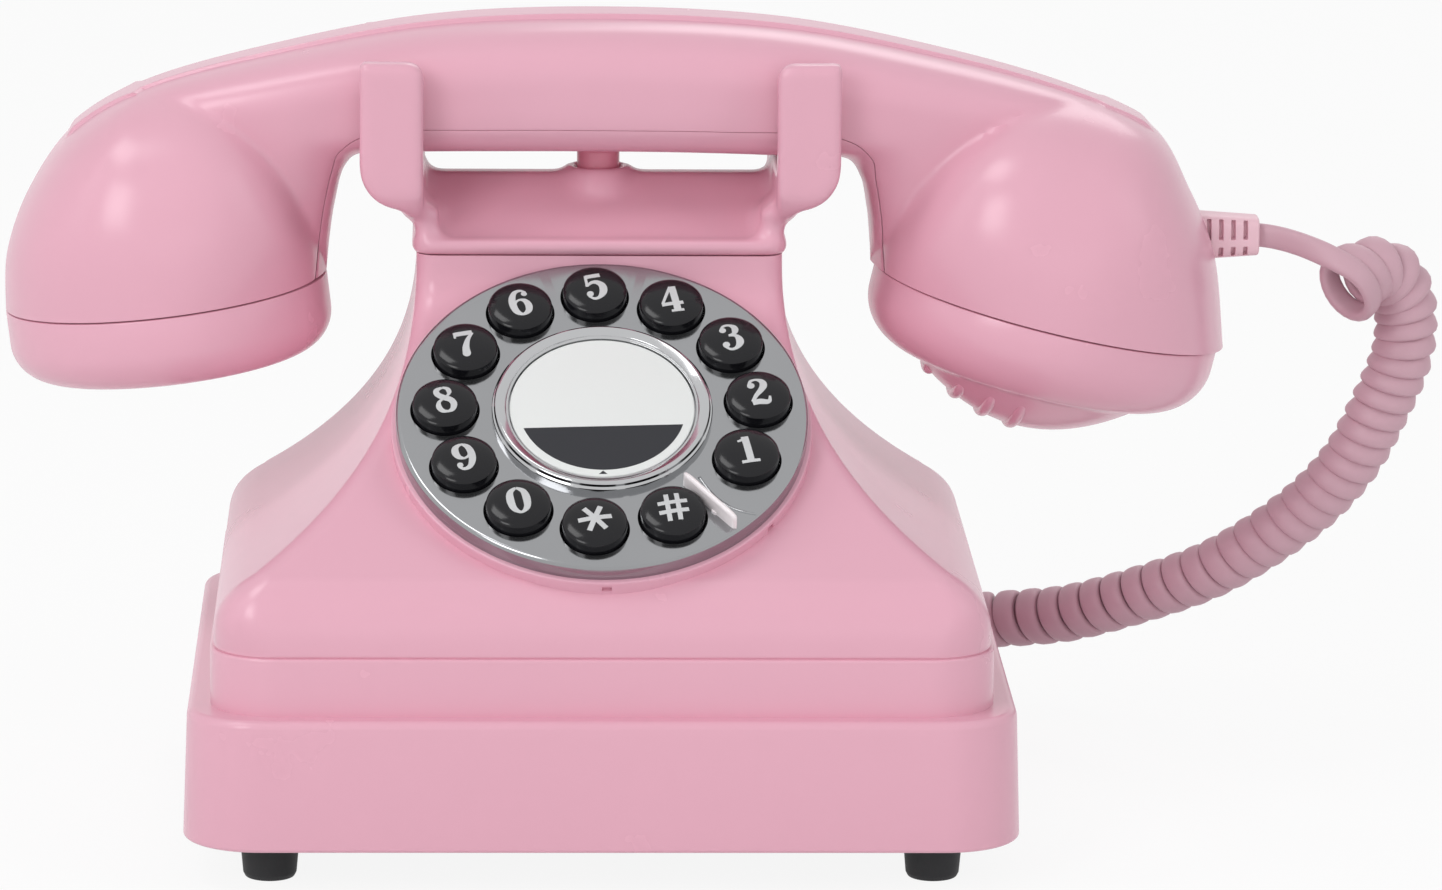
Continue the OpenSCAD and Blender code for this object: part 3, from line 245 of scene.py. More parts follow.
PINK_TONE = (0.775, 0.41, 0.513)
PINK = moulded("pink_gloss_plastic", PINK_TONE, 0.26, drift=0.02, IOR=1.5)
RELIEF = moulded("pale_pink_rubber", (0.83, 0.55, 0.62), 0.42, drift=0.03, grain=0.000002)
CORD = moulded("curly_cord_sleeve", (0.60, 0.375, 0.44), 0.5, drift=0.05, grain=0.000004)
PLUNGER = moulded("plunger_plastic", (0.72, 0.27, 0.36), 0.3)
# the plate's colour smear is partly a painted reflection of the room, and partly its real uneven polish
CHROME = metal("dial_chrome", (0.335, 0.34, 0.35), 0.13, speck_and_sheen=0.06)
CHROME_BRIGHT = metal("hub_chrome", (0.5, 0.505, 0.515), 0.1)
RIB = moulded("pale_rib", (0.9, 0.84, 0.86), 0.15)
CARD = moulded("white_card", (0.80, 0.82, 0.81), 0.4, drift=0.012, grain=0.000003)
INK = moulded("black_ink", (0.006, 0.007, 0.012), 0.35)
KEY = moulded("black_key_gloss", (0.008, 0.008, 0.01), 0.14, drift=0.2, ripple=0.00001, IOR=1.36)
MARK = moulded("pale_key_print", (0.60, 0.61, 0.62), 0.4, drift=0.05, grain=0.000002)
RUBBER = moulded("black_rubber", (0.018, 0.018, 0.02), 0.65, drift=0.25, grain=0.00001)
BLACK = moulded("black_moulding", (0.03, 0.03, 0.033), 0.45, drift=0.15, grain=0.000008)
PLUG = moulded("clear_grey_plug", (0.55, 0.50, 0.52), 0.25)
MEMBRANE = moulded("grey_silicone", (0.11, 0.11, 0.12), 0.6, drift=0.1, grain=0.000006)
STEEL = metal("zinc_steel", (0.56, 0.56, 0.55), 0.34, lines=0.00001, speck_and_sheen=0.1)
IRON = metal("cast_iron", (0.16, 0.155, 0.15), 0.62, speck_and_sheen=0.3)
SPRING = metal("spring_steel", (0.45, 0.45, 0.46), 0.25)


def board_finish():
    """Green lacquer with a faint weave of fibres and paler copper fields under it."""
    f = Finish("circuit_board")
    weave = f.noise(700, 1, stretch=(1, 6, 1)) * 0.5 + f.noise(700, 1, stretch=(6, 1, 1)) * 0.5
    fields = f.noise(160, 1) > 0.52
    f.feed("Base Color", f.mix(fields, (0.006, 0.09, 0.035), (0.012, 0.16, 0.06)))
    f.feed("Roughness", 0.25 + weave * 0.25)
    f.bump(weave * 0.000015 + fields * 0.00003, 1.0)
    return f.material


BOARD = board_finish()


# Share of plain white in what the camera sees of the floor
FLOOR_GLOW = 0.9


def floor_finish():
    """White ground: the camera and reflections see mostly plain white, and the rest is the shadow."""
    f = Finish("white_ground", Roughness=0.9, Base_Color=(0.86, 0.86, 0.86), Specular_IOR_Level=0.0)
    path = f.add("ShaderNodeLightPath")
    seen = Value(f, path.outputs["Is Camera Ray"]) + Value(f, path.outputs["Is Glossy Ray"])
    seen = (seen + Value(f, path.outputs["Is Transmission Ray"])).clamped()
    glow = f.add("ShaderNodeEmission", {}, Color=(1.0, 1.0, 1.0), Strength=1.0)
    both = f.add("ShaderNodeMixShader", {}, seen * FLOOR_GLOW, f.shader.outputs[0], glow.outputs[0])
    output = next(n for n in f.tree.nodes if n.type == "OUTPUT_MATERIAL")
    f.tree.links.new(both.outputs[0], output.inputs[0])
    return f.material


def sky():
    """White for the camera and reflections, and softer for the light that falls on the object."""
    world = bpy.data.worlds.new("studio")
    bpy.context.scene.world = world
    world.use_nodes = True
    tree = world.node_tree
    path = tree.nodes.new("ShaderNodeLightPath")
    back = tree.nodes["Background"]
    rays = [path.outputs[n] for n in ("Is Camera Ray", "Is Glossy Ray", "Is Transmission Ray")]
    total = rays[0]
    for ray in rays[1:]:
        node = tree.nodes.new("ShaderNodeMath")
        node.operation = "MAXIMUM"
        tree.links.new(total, node.inputs[0])
        tree.links.new(ray, node.inputs[1])
        total = node.outputs[0]
    level = tree.nodes.new("ShaderNodeMapRange")
    level.inputs["To Min"].default_value = 0.38
    level.inputs["To Max"].default_value = 1.0
    tree.links.new(total, level.inputs["Value"])
    tree.links.new(level.outputs[0], back.inputs["Strength"])
    back.inputs["Color"].default_value = (1, 1, 1, 1)


sky()


# ---------- shapes ----------
def lerp(a, b, t):
    return a + (b - a) * t


def clamp(t):
    return np.clip(t, 0.0, 1.0)


def ease(t):
    t = clamp(t)
    return t * t * (3 - 2 * t)


def unit(v):
    v = np.asarray(v, float)
    return v / np.linalg.norm(v, axis=-1, keepdims=True)


def cos(degrees):
    return np.cos(np.radians(degrees))


def sin(degrees):
    return np.sin(np.radians(degrees))


def grid(rows, columns, wrap_rows=False, wrap_columns=False):
    """Quads between neighbouring points of a grid, closed round where asked."""
    i, j = np.meshgrid(np.arange(rows if wrap_rows else rows - 1),
                       np.arange(columns if wrap_columns else columns - 1), indexing="ij")
    i2, j2 = (i + 1) % rows, (j + 1) % columns
    quads = np.stack([i * columns + j, i2 * columns + j, i2 * columns + j2, i * columns + j2], -1)
    return quads.reshape(-1, 4)


def surface(points, wrap_rows=False, wrap_columns=False):
    """A grid of points with its quads."""
    return points.reshape(-1, 3), grid(*points.shape[:2], wrap_rows, wrap_columns)


def capped_loft(rings):
    """Rings of points joined in order, with each end ring closed on its own middle."""
    first, last = rings[:1].mean(1, keepdims=True), rings[-1:].mean(1, keepdims=True)
    n = rings.shape[1]
    closed = np.concatenate([np.repeat(first, n, 1), rings, np.repeat(last, n, 1)])
    return surface(closed, wrap_columns=True)


def spline(knots, steps):
    """A smooth curve through the knots: a cubic between each two, with slopes from its neighbours."""
    p = np.asarray(knots, float)
    p = np.concatenate([p[:1], p, p[-1:]])
    t = np.append(np.tile(np.arange(steps) / steps, len(p) - 3), 1.0)
    i = np.append(np.repeat(np.arange(len(p) - 3), steps), len(p) - 4)
    t = t.reshape(-1, *([1] * (p.ndim - 1)))
    a, b, c, d = p[i], p[i + 1], p[i + 2], p[i + 3]
    return b + 0.5 * t * (c - a + t * (2 * a - 5 * b + 4 * c - d + t * (3 * (b - c) + d - a)))


def rounded(corners, steps=6):
    """A polyline whose corners (x, z, radius) are turned into arcs."""
    p = np.array([c[:2] for c in corners], float)
    out = []
    for k, corner in enumerate(corners):
        radius = corner[2] if len(corner) > 2 else 0
        if not radius or k in (0, len(corners) - 1):
            out.append(p[k:k + 1])
            continue
        u, v = unit(p[k - 1] - p[k]), unit(p[k + 1] - p[k])
        half = math.acos(float(np.clip(u @ v, -1, 1))) / 2
        middle = p[k] + unit(u + v) * radius / math.sin(half)
        a = p[k] + u * radius / math.tan(half) - middle
        b = p[k] + v * radius / math.tan(half) - middle
        sweep = math.pi - 2 * half
        t = np.linspace(0, 1, steps + 1)[:, None]
        out.append(middle + (np.sin((1 - t) * sweep) * a + np.sin(t * sweep) * b) / math.sin(sweep))
    return np.concatenate(out)


def revolve(profile, steps=96, closed=False):
    """A profile of radius and height carried once round Z. An open one starts and ends on the axis."""
    p, a = np.asarray(profile, float), np.arange(steps) * 360 / steps
    points = np.stack([p[:, :1] * cos(a), p[:, :1] * sin(a), np.repeat(p[:, 1:2], steps, 1)], -1)
    return surface(points, closed, True)


def plate(top, drop):
    """A thin solid under a grid of points: the same grid lowered by drop, joined round its border."""
    low = top - np.asarray(drop, float)
    under = np.concatenate([low[:, :1], low, low[:, -1:]], 1)
    upper = np.concatenate([low[:, :1], top, low[:, -1:]], 1)
    return surface(np.concatenate([under[:1], upper, under[-1:], under[::-1]]))


def box(x0, x1, y0, y1, z0, z1):
    plan = (x0, y0), (x1, y0), (x1, y1), (x0, y1)
    corners = np.array([[x, y, z] for z in (z0, z1) for x, y in plan], float)
    quads = np.array([[3, 2, 1, 0], [4, 5, 6, 7], [0, 1, 5, 4], [1, 2, 6, 5], [2, 3, 7, 6], [3, 0, 4, 7]])
    return corners, quads


def shifted(part, shift):
    return part[0] + np.asarray(shift, float), part[1]


def turned(part, turn):
    """A part's points turned by a matrix."""
    return part[0] @ np.asarray(turn, float).T, part[1]


def moved(part, turn, shift):
    """A part turned by a matrix, then shifted."""
    return shifted(turned(part, turn), shift)


def about_x(degrees):
    c, s = cos(degrees), sin(degrees)
    return np.array([[1, 0, 0], [0, c, -s], [0, s, c]])


def about_y(degrees):
    c, s = cos(degrees), sin(degrees)
    return np.array([[c, 0, s], [0, 1, 0], [-s, 0, c]])


def about_z(degrees):
    c, s = cos(degrees), sin(degrees)
    return np.array([[c, -s, 0], [s, c, 0], [0, 0, 1]])


def fill(name, parts, materials, slots=None):
    """A mesh object from parts of points and quads, doubles merged and faces outward."""
    points, quads, index, start = [], [], [], 0
    for k, (p, q) in enumerate(parts):
        points.append(p)
        quads.append(q + start)
        index.append(np.full(len(q), slots[k] if slots else 0))
        start += len(p)
    points, quads, index = np.concatenate(points), np.concatenate(quads), np.concatenate(index)
    mesh = bpy.data.meshes.new(name)
    mesh.vertices.add(len(points))
    mesh.vertices.foreach_set("co", (points * MM).astype(np.float32).ravel())
    mesh.loops.add(quads.size)
    mesh.loops.foreach_set("vertex_index", quads.astype(np.int32).ravel())
    mesh.polygons.add(len(quads))
    mesh.polygons.foreach_set("loop_start", np.arange(len(quads), dtype=np.int32) * 4)
    mesh.polygons.foreach_set("material_index", index.astype(np.int32))
    mesh.update(calc_edges=True)
    bm = bmesh.new()
    bm.from_mesh(mesh)
    bmesh.ops.remove_doubles(bm, verts=bm.verts, dist=1e-6)
    bmesh.ops.dissolve_degenerate(bm, edges=bm.edges, dist=1e-7)
    bmesh.ops.recalc_face_normals(bm, faces=bm.faces)
    bm.to_mesh(mesh)
    bm.free()
    for material in materials:
        mesh.materials.append(material)
    return link(name, mesh)


def bake_modifiers(obj):
    """Replaces obj's mesh by what its modifiers make of it."""
    graph = bpy.context.evaluated_depsgraph_get()
    made = bpy.data.meshes.new_from_object(obj.evaluated_get(graph))
    obj.modifiers.clear()
    obj.data = made


def carve(obj, operation, parts):
    """Cuts the parts out of obj, or joins them to it. They are closed and don't touch each other."""
    tool = fill(obj.name + "_tool", parts, [])
    modifier = obj.modifiers.new("carve", "BOOLEAN")
    modifier.solver, modifier.operation, modifier.object = "MANIFOLD", operation, tool
    bpy.context.view_layer.update()
    bake_modifiers(obj)
    bpy.data.objects.remove(tool)


def finished(obj, body, nodes, angle=35):
    """Smooth faces with crisp edges past the angle, carried by its body in place of its nodes."""
    obj.data.shade_smooth()
    obj.data.set_sharp_from_angle(angle=math.radians(angle))
    if body:
        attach(obj, body)
    if nodes:
        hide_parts(*nodes)
    return obj


# ---------- curly cord ----------
STRAND_W, STRAND_T = 4.4, 2.3
HELIX_R = 4.35
CRADLE_Y, RELIEF_Z = 22.5, 103.3
RELIEF_TIP = (122.1, CRADLE_Y, RELIEF_Z)
# Points of the coil's axis, and of the plain tail that leaves it
COIL = [
    (136.6, 18.2, 93.6), (142.3, 22, 96.6), (146.5, 24.2, 96), (149.6, 25.8, 91.2), (150.2, 26.4, 84),
    (149.2, 27.2, 78), (146, 28.6, 69.5), (141.5, 31, 59.5), (135, 34.5, 50.5), (126, 39, 42),
    (116, 44.6, 34.6), (104, 52.5, 28.2), (92, 61, 22.8), (83, 67.2, 20.3), (75, 71.6, 18.6),
    (62, 73.5, 15.5), (50, 74.5, 13), (38, 75, 11),
]
TAIL = [(22, 81, 14.5), (14, 83.5, 18), (7, 82, 21), (4.4, 77, 22.8), (4, 71.5, 23.425)]
START_PHASE, RING_AXIS = 140.0, (0.57, 0.70, 0.43)


def hermite(a, slope_a, b, slope_b, steps):
    """A cubic from a to b with those slopes at its ends, without its last point."""
    t = (np.arange(steps) / steps)[:, None]
    return (a * (1 + 2 * t) * (1 - t) ** 2 + slope_a * t * (1 - t) ** 2
            + b * t ** 2 * (3 - 2 * t) + slope_b * t ** 2 * (t - 1))


def evenly(line, count):
    """The same line with count points at even distances."""
    s = np.concatenate([[0], np.cumsum(np.linalg.norm(np.diff(line, axis=0), axis=1))])
    t = np.linspace(0, s[-1], count)
    return np.stack([np.interp(t, s, line[:, k]) for k in range(3)], 1), s[-1]


def cord_strand():
    """The strand's middle line, the direction of its flat width, and its tangent.
    It leaves the relief upright, winds round the coil's axis as a helix, and runs on to the plug."""
    axis, reach = evenly(spline(COIL, 24), 2400)
    u = np.linspace(0, 1, len(axis))
    # the turns lie close at the top, open towards the plug, and the first one stands free
    pitch = lerp(3.3, 5.3, ease(u / 0.85)) + 3.2 * np.exp(-u * reach / 5)
    wound = np.concatenate([[0], np.cumsum(np.diff(u) * reach / pitch[1:])])
    turn = np.linspace(0, wound[-1], int(wound[-1] * 24))
    k = np.interp(turn, wound, u) * (len(axis) - 1)
    centre = np.stack([np.interp(k, np.arange(len(axis)), axis[:, i]) for i in range(3)], 1)
    along = unit(np.gradient(axis, axis=0))
    along = unit(np.stack([np.interp(k, np.arange(len(axis)), along[:, i]) for i in range(3)], 1))
    first = np.exp(-turn / 0.8)[:, None]
    along = unit(lerp(along, np.array(RING_AXIS), first))
    side = unit(np.array([0, 1, 0]) - along * along[:, 1:2])
    other = np.cross(along, side)
    phase = (np.radians(START_PHASE) + turn * 2 * math.pi)[:, None]
    out = np.cos(phase) * side + np.sin(phase) * other
    helix = centre + (HELIX_R + 2.6 * np.exp(-turn / 1.1)[:, None]) * out
    # where the turns are closer than the strand is wide, each lies with its forward edge over the next
    crowded = clamp((4.6 - np.interp(turn, wound, pitch)) / 1.3)
    lap = (32 * crowded * (1 - np.exp(-turn / 1.5)))[:, None]
    flat = cos(lap) * along + sin(lap) * out
    start, slope = helix[0], unit(helix[1] - helix[0])
    inside_tip = np.array(RELIEF_TIP) - (1.5, 0, 0)
    lead = hermite(inside_tip, np.array([17.0, 0, 0]), start, slope * 17, 24)
    end_slope = unit(helix[-1] - helix[-2]) * 14
    leave = hermite(helix[-1], end_slope, np.array(TAIL[0]), np.array([-9.0, 3, 3.5]), 14)
    line = np.concatenate([lead, helix, leave[1:], spline(TAIL, 8)])
    upright = np.array([0, 0, 1.0])
    blend_in = ease(np.linspace(0, 1.0, len(lead) + 14) * 1.25 - 0.25)[:, None]
    past = len(line) - len(lead) - len(turn)
    wide = np.concatenate([np.repeat(flat[:1], len(lead), 0), flat, np.repeat(flat[-1:], past, 0)])
    wide[:len(blend_in)] = lerp(upright, wide[:len(blend_in)], blend_in)
    tangent = unit(np.gradient(line, axis=0))
    wide = unit(wide - tangent * np.sum(wide * tangent, 1, keepdims=True))
    return line, wide, tangent


def cord_piece():
    """The strand: a soft rectangle, |x|^2.6 + |z|^2.6 = 1, carried along its line."""
    line, wide, tangent = cord_strand()
    thick = np.cross(wide, tangent)
    a = np.arange(18) * 20.0
    x = np.sign(cos(a)) * np.abs(cos(a)) ** (2 / 2.6) * STRAND_W / 2
    z = np.sign(sin(a)) * np.abs(sin(a)) ** (2 / 2.6) * STRAND_T / 2
    rings = line[:, None] + wide[:, None] * x[:, None] + thick[:, None] * z[:, None]
    cord = fill("curly_cord", [capped_loft(rings)], [CORD])
    finished(cord, None, ("cord_lead", "cord_coil", "cord_tail"), 60)
    length = float(np.linalg.norm(np.diff(line, axis=0), axis=1).sum())
    (line * MM).tolist()
    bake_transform(cord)


cord_piece()


# ---------- base ----------
PLINTH_W, PLINTH_D, PLINTH_R, DRAFT = 146.8, 126.0, 13.0, 0.8
FOOT_H, PLINTH_TOP, BAND_TOP, SHOULDER_Z, NECK_TOP = 8.0, 31.5, 41.8, 55.0, 102.8
DECK_Z, WALL = 29.0, 2.6
JACKS_X, JACK_HALF = (4, -34), 6.75
FOOT_X, FOOT_Y = 58.9, 48.5


def plan_rings(z, w, y0, y1, r, arc=10, straight=10):
    """Rounded rectangles, one for each height: four quarter arcs joined by straight runs of points."""
    z, w, y0, y1, r = (np.broadcast_to(np.asarray(v, float), np.shape(z)) for v in (z, w, y0, y1, r))
    a = np.radians(np.linspace(0, 90, arc + 1))
    out = []
    for c in range(4):
        cx = (w - r) if c in (0, 3) else (r - w)
        cy = (y1 - r) if c < 2 else (y0 + r)
        turn = a + c * math.pi / 2
        arc_x, arc_y = r[:, None] * np.cos(turn), r[:, None] * np.sin(turn)
        out.append(np.stack([cx[:, None] + arc_x, cy[:, None] + arc_y], -1))
    runs = []
    t = (np.arange(1, straight) / straight)[None, :, None]
    for c in range(4):
        runs += [out[c], lerp(out[c][:, -1:], out[(c + 1) % 4][:, :1], t)]
    plan = np.concatenate(runs, 1)
    return np.concatenate([plan, np.repeat(z[:, None, None], plan.shape[1], 1)], -1)


def plinth_piece():
    """A drafted tray turned over, with rounded edges, a deck with a large opening, and two sockets."""
    edge, foot_edge = 1.5, 0.7
    profile = rounded([(-1, FOOT_H), (DRAFT, FOOT_H, foot_edge), (0, PLINTH_TOP, edge),
                       (-12, PLINTH_TOP)], 8)
    inset, z = -profile[:, 0], profile[:, 1]
    half_w, half_d = PLINTH_W / 2, PLINTH_D / 2
    outer = plan_rings(z, half_w - inset, inset - half_d, half_d - inset,
                       np.maximum(PLINTH_R - inset, 1), 24)
    obj = fill("base_plinth_shell", [capped_loft(outer)], [PINK])
    hollow_z = np.array([FOOT_H - 2, DECK_Z])
    hollow = plan_rings(hollow_z, half_w - WALL, WALL - half_d, half_d - WALL, PLINTH_R - WALL, 12, 2)
    carve(obj, "DIFFERENCE", [capped_loft(hollow)])
    carve(obj, "DIFFERENCE", [box(-48, 48, -33, 33, DECK_Z - 1, PLINTH_TOP + 1)])
    jacks = [box(x - JACK_HALF, x + JACK_HALF, 58.4, 66, 17.85, DECK_Z) for x in JACKS_X]
    carve(obj, "DIFFERENCE", jacks)
    finished(obj, "root", ("base_plinth",), 40)


plinth_piece()


def foot_pieces():
    """A turned rubber foot: narrower at the floor, a rounded lip, a shallow ring under it, and a peg."""
    profile = rounded([(0, 0.5), (2.4, 0.5, 0.2), (2.7, 0, 0.25), (4.3, 0, 0.6), (4.75, 0.9, 0.5),
                       (5.3, FOOT_H - 0.9, 0.4), (5.45, FOOT_H, 0.1), (2.5, FOOT_H), (2.5, 10.6),
                       (0, 10.6)], 5)
    for row, y in (("front", -FOOT_Y), ("rear", FOOT_Y)):
        for side, x in (("left", -FOOT_X), ("right", FOOT_X)):
            name = f"foot_{row}_{side}"
            part = shifted(revolve(profile), (x, y, 0))
            finished(fill("rubber_" + name, [part], [RUBBER]), "root", (name,), 45)


foot_pieces()


# ---------- upper housing ----------
TILT, DIAL_FORWARD, DIAL_Z = 36.0, 29.0, 80.2
BAND_W, BAND_D, CREASE_W, CREASE_D = 69.4, 59.0, 68.8, 58.4
NECK_W, NECK_FRONT, NECK_REAR = 33.3, 1.5, 43.5
DIAL_R, DIAL_T, BUTTON_R, BUTTON_D = 36.8, 3.5, 28.0, 11.5
STEM_D = 5.0
KEY_ANGLES = [-24.3 + 29.1 * k for k in range(12)]
HOUSING_WALL = 2.4


def at_dial(part):
    """Stands a part whose Z is the dial's axis on the tilted dial."""
    return moved(part, about_x(TILT), (0, -DIAL_FORWARD, DIAL_Z))


def round_dial(part, angles):
    """Copies of the part turned about the dial's axis, stood on the dial."""
    return [at_dial(turned(part, about_z(angle))) for angle in angles]


def up_shoulder(z):
    return clamp((z - BAND_TOP) / (SHOULDER_Z - BAND_TOP))


def up_flare(z):
    return clamp((z - SHOULDER_Z) / (NECK_TOP - SHOULDER_Z))


def front_y(z):
    """The slope under the dial, parallel to it, running softly into the neck's upright front."""
    slope = -DIAL_FORWARD + (z - DIAL_Z + 5.7 / cos(TILT)) / math.tan(math.radians(TILT))
    return -np.log(np.exp(-0.5 * slope) + np.exp(-0.5 * NECK_FRONT)) / 0.5


def housing_rings(z):
    """Half width, front, rear and corner radius at each height: a rounded shoulder on the band,
    then a neck that flares down like a bell."""
    s, f, low = up_shoulder(z), up_flare(z), z <= SHOULDER_Z
    w = np.where(low, CREASE_W - 6.6 * s ** 3.3, NECK_W + (62.2 - NECK_W) * (1 - f) ** 2.65)
    y0 = np.where(low, lerp(-CREASE_D, front_y(SHOULDER_Z), s ** 2.8), front_y(z))
    y1 = np.where(low, CREASE_D - 9.9 * s ** 1.5, NECK_REAR + (48.5 - NECK_REAR) * (1 - f) ** 6)
    r = np.where(low, lerp(12, 4, s), lerp(3, 4, f))
    return w, y0, y1, r


def housing_piece():
    """The band with its rounded edge and fine groove, the shoulder and flare, and the dial's collar."""
    edge = rounded([(0, PLINTH_TOP), (0, BAND_TOP, 0.5), (0.8, BAND_TOP)], 5)[:-1]
    inset, band_z = edge[:, 0], edge[:, 1]
    lip = np.array([[0.8, BAND_TOP], [0.8, BAND_TOP + 0.1], [0.66, BAND_TOP + 0.25]])
    inset, band_z = np.concatenate([inset, lip[:, 0]]), np.concatenate([band_z, lip[:, 1]])
    z = np.concatenate([np.linspace(BAND_TOP + 0.5, SHOULDER_Z, 40),
                        np.linspace(SHOULDER_Z, NECK_TOP, 90)[1:]])
    w, y0, y1, r = housing_rings(z)
    rings = np.concatenate([
        plan_rings(band_z, BAND_W - inset, inset - BAND_D, BAND_D - inset, 12 - inset, 16, 24),
        plan_rings(z, w, y0, y1, r, 16, 24)])
    obj = fill("upper_housing_shell", [capped_loft(rings)], [PINK])
    collar = rounded([(0, -7.2), (37.6, -7.2), (37.6, -DIAL_T, 0.35), (0, -DIAL_T)], 5)
    carve(obj, "UNION", [at_dial(revolve(collar, 192))])
    z = np.concatenate([[PLINTH_TOP - 1, BAND_TOP + 0.6], np.linspace(BAND_TOP + 2, 96.8, 24)])
    level = np.maximum(z, BAND_TOP + 0.6)
    w, y0, y1, r = housing_rings(level)
    # the wall is measured square to the skin, so it grows where the plan changes fast with height
    above, below = housing_rings(level + 0.5), housing_rings(level - 0.5)
    grow = [HOUSING_WALL * np.hypot(1, a - b) for a, b in zip(above[:3], below[:3])]
    inner = plan_rings(z, w - grow[0], y0 + grow[1], y1 - grow[2], np.maximum(r - HOUSING_WALL, 1), 6, 6)
    carve(obj, "DIFFERENCE", [capped_loft(inner)])
    neck = plan_rings(np.array([96.0, 104.0]), 29.7, 5.1, 39.9, 2.0, 6, 2)
    carve(obj, "DIFFERENCE", [capped_loft(neck)])
    pocket = [(0, -6.5), (35, -6.5), (35, 5), (0, 5)]
    carve(obj, "DIFFERENCE", [at_dial(revolve(pocket, 128))])
    bore_r = STEM_D / 2 + 0.3
    stem = shifted(revolve([(0, -13), (bore_r, -13), (bore_r, -6), (0, -6)], 32), (BUTTON_R, 0, 0))
    carve(obj, "DIFFERENCE", round_dial(stem, KEY_ANGLES))
    notch = box(-0.85, 0.85, -38.4, -36.9, -5.6, -4.4)
    carve(obj, "DIFFERENCE", round_dial(notch, (0.75, 52.0)))
    finished(obj, "root", ("upper_housing",), 38)


housing_piece()


# ---------- dial ----------
HUB_R, DISC_R, HUB_RISE = 19.7, 16.5, 2.2
STOP_ANGLE = -50.0


def dial_plate_piece():
    """A polished disc with a softly rounded rim, twelve lipped key holes, and four posts behind it."""
    rim = rounded([(0, -DIAL_T), (DIAL_R, -DIAL_T, 0.1), (DIAL_R, 0, 0.9), (0, 0)], 8)
    obj = fill("dial_plate_disc", [at_dial(revolve(rim, 256))], [CHROME])
    r = BUTTON_D / 2 + 0.14
    hole = rounded([(0, -5), (r, -5), (r, -0.35, 0.25), (r + 0.4, 0.08), (r + 0.4, 2), (0, 2)], 4)
    hole = shifted(revolve(hole, 96), (BUTTON_R, 0, 0))
    carve(obj, "DIFFERENCE", round_dial(hole, KEY_ANGLES))
    # a fine curved groove beside the finger stop
    way = spline([(17.0, -15.6), (18.6, -18.6), (20.6, -21.2), (23.6, -23.4), (28.0, -24.4),
                  (33.0, -23.2)], 10)
    bead, bead_r = np.arange(12) * 30, 0.3
    slope = unit(np.gradient(way, axis=0))
    groove = np.stack([way[:, :1] - slope[:, 1:] * bead_r * cos(bead),
                       way[:, 1:] + slope[:, :1] * bead_r * cos(bead),
                       0.12 + bead_r * sin(bead) * np.ones((len(way), 1))], -1)
    carve(obj, "DIFFERENCE", [at_dial(capped_loft(groove))])
    post = shifted(revolve([(0, -6.5), (3, -6.5), (3, -3.0), (0, -3.0)], 32), (15.5, 0, 0))
    carve(obj, "UNION", round_dial(post, (45, 135, 225, 315)))
    finished(obj, "root", ("dial_plate",), 35)


dial_plate_piece()


def hub_pieces():
    """A turned ring with a shoulder, a fine groove, a sloping band and a lip, and the card it holds."""
    bore = DISC_R + 0.25
    ring = rounded([(bore, 0), (HUB_R, 0), (HUB_R, 1.1, 0.35), (19.25, 1.35, 0.2), (19.15, 1.9, 0.3),
                    (18.6, HUB_RISE, 0.35), (17.3, 1.55, 0.25), (17.15, 1.2, 0.1), (bore, 1.15, 0.1),
                    (bore, 0)], 6)
    hub = fill("hub_ring_turned", [at_dial(revolve(ring, 192, True))], [CHROME_BRIGHT])
    finished(hub, "root", ("hub_ring",), 40)
    disc = rounded([(0, 0), (DISC_R, 0), (DISC_R, 1.1, 0.25), (0, 1.1)], 5)
    u, v = np.meshgrid(np.linspace(-1, 1, 61), np.linspace(0, 1, 7), indexing="ij")
    chord, radius = -4.5, 14.9
    x = u * math.sqrt(radius ** 2 - chord ** 2) * 0.999
    y = lerp(chord, -np.sqrt(radius ** 2 - x ** 2), v)
    field = plate(np.stack([x, y, np.full_like(x, 1.14)], -1), (0, 0, 0.3))
    u, v = np.meshgrid(np.linspace(0, 1, 3), np.linspace(0, 1, 3), indexing="ij")
    wedge = np.stack([(u - 0.5) * 1.5 * v, -15.1 - 0.8 * v, np.full_like(u, 1.13)], -1)
    pointer = plate(wedge, (0, 0, 0.3))
    parts = [at_dial(p) for p in (revolve(disc, 128), turned(field, about_z(2)), pointer)]
    finished(fill("centre_card", parts, [CARD, INK], [0, 1, 1]), "root", ("centre_disc",), 40)


hub_pieces()


def finger_stop_piece():
    """A rib with a rounded crest and rounded ends, and the peg that holds it."""
    n, m = 40, 24
    s = np.linspace(0, 1, n)
    a = np.linspace(0, 180, m)
    r0, r1 = HUB_R + 2.4, DIAL_R - 0.5
    half = 0.55 * np.sqrt(clamp(1 - np.abs(2 * s - 1) ** 14))
    top = 2.6 + 0.6 * np.sqrt(clamp(1 - np.abs(2 * s - 1) ** 10))
    rings = np.stack([np.broadcast_to(lerp(r0, r1, s)[:, None], (n, m)), half[:, None] * cos(a),
                      np.broadcast_to(top[:, None] - 0.6 + 0.6 * sin(a), (n, m))], -1)
    feet = rings[:, [0, -1]] * (1, 1, 0)
    rings = np.concatenate([feet[:, :1], rings, feet[:, 1:]], 1)
    peg = shifted(revolve([(0, -2), (0.9, -2), (0.9, 0.5), (0, 0.5)], 24), (BUTTON_R + 3, 0, 0))
    rib = [round_dial(p, [STOP_ANGLE])[0] for p in (capped_loft(rings), peg)]
    finished(fill("finger_stop_rib", rib, [RIB]), "root", ("finger_stop",), 45)


finger_stop_piece()

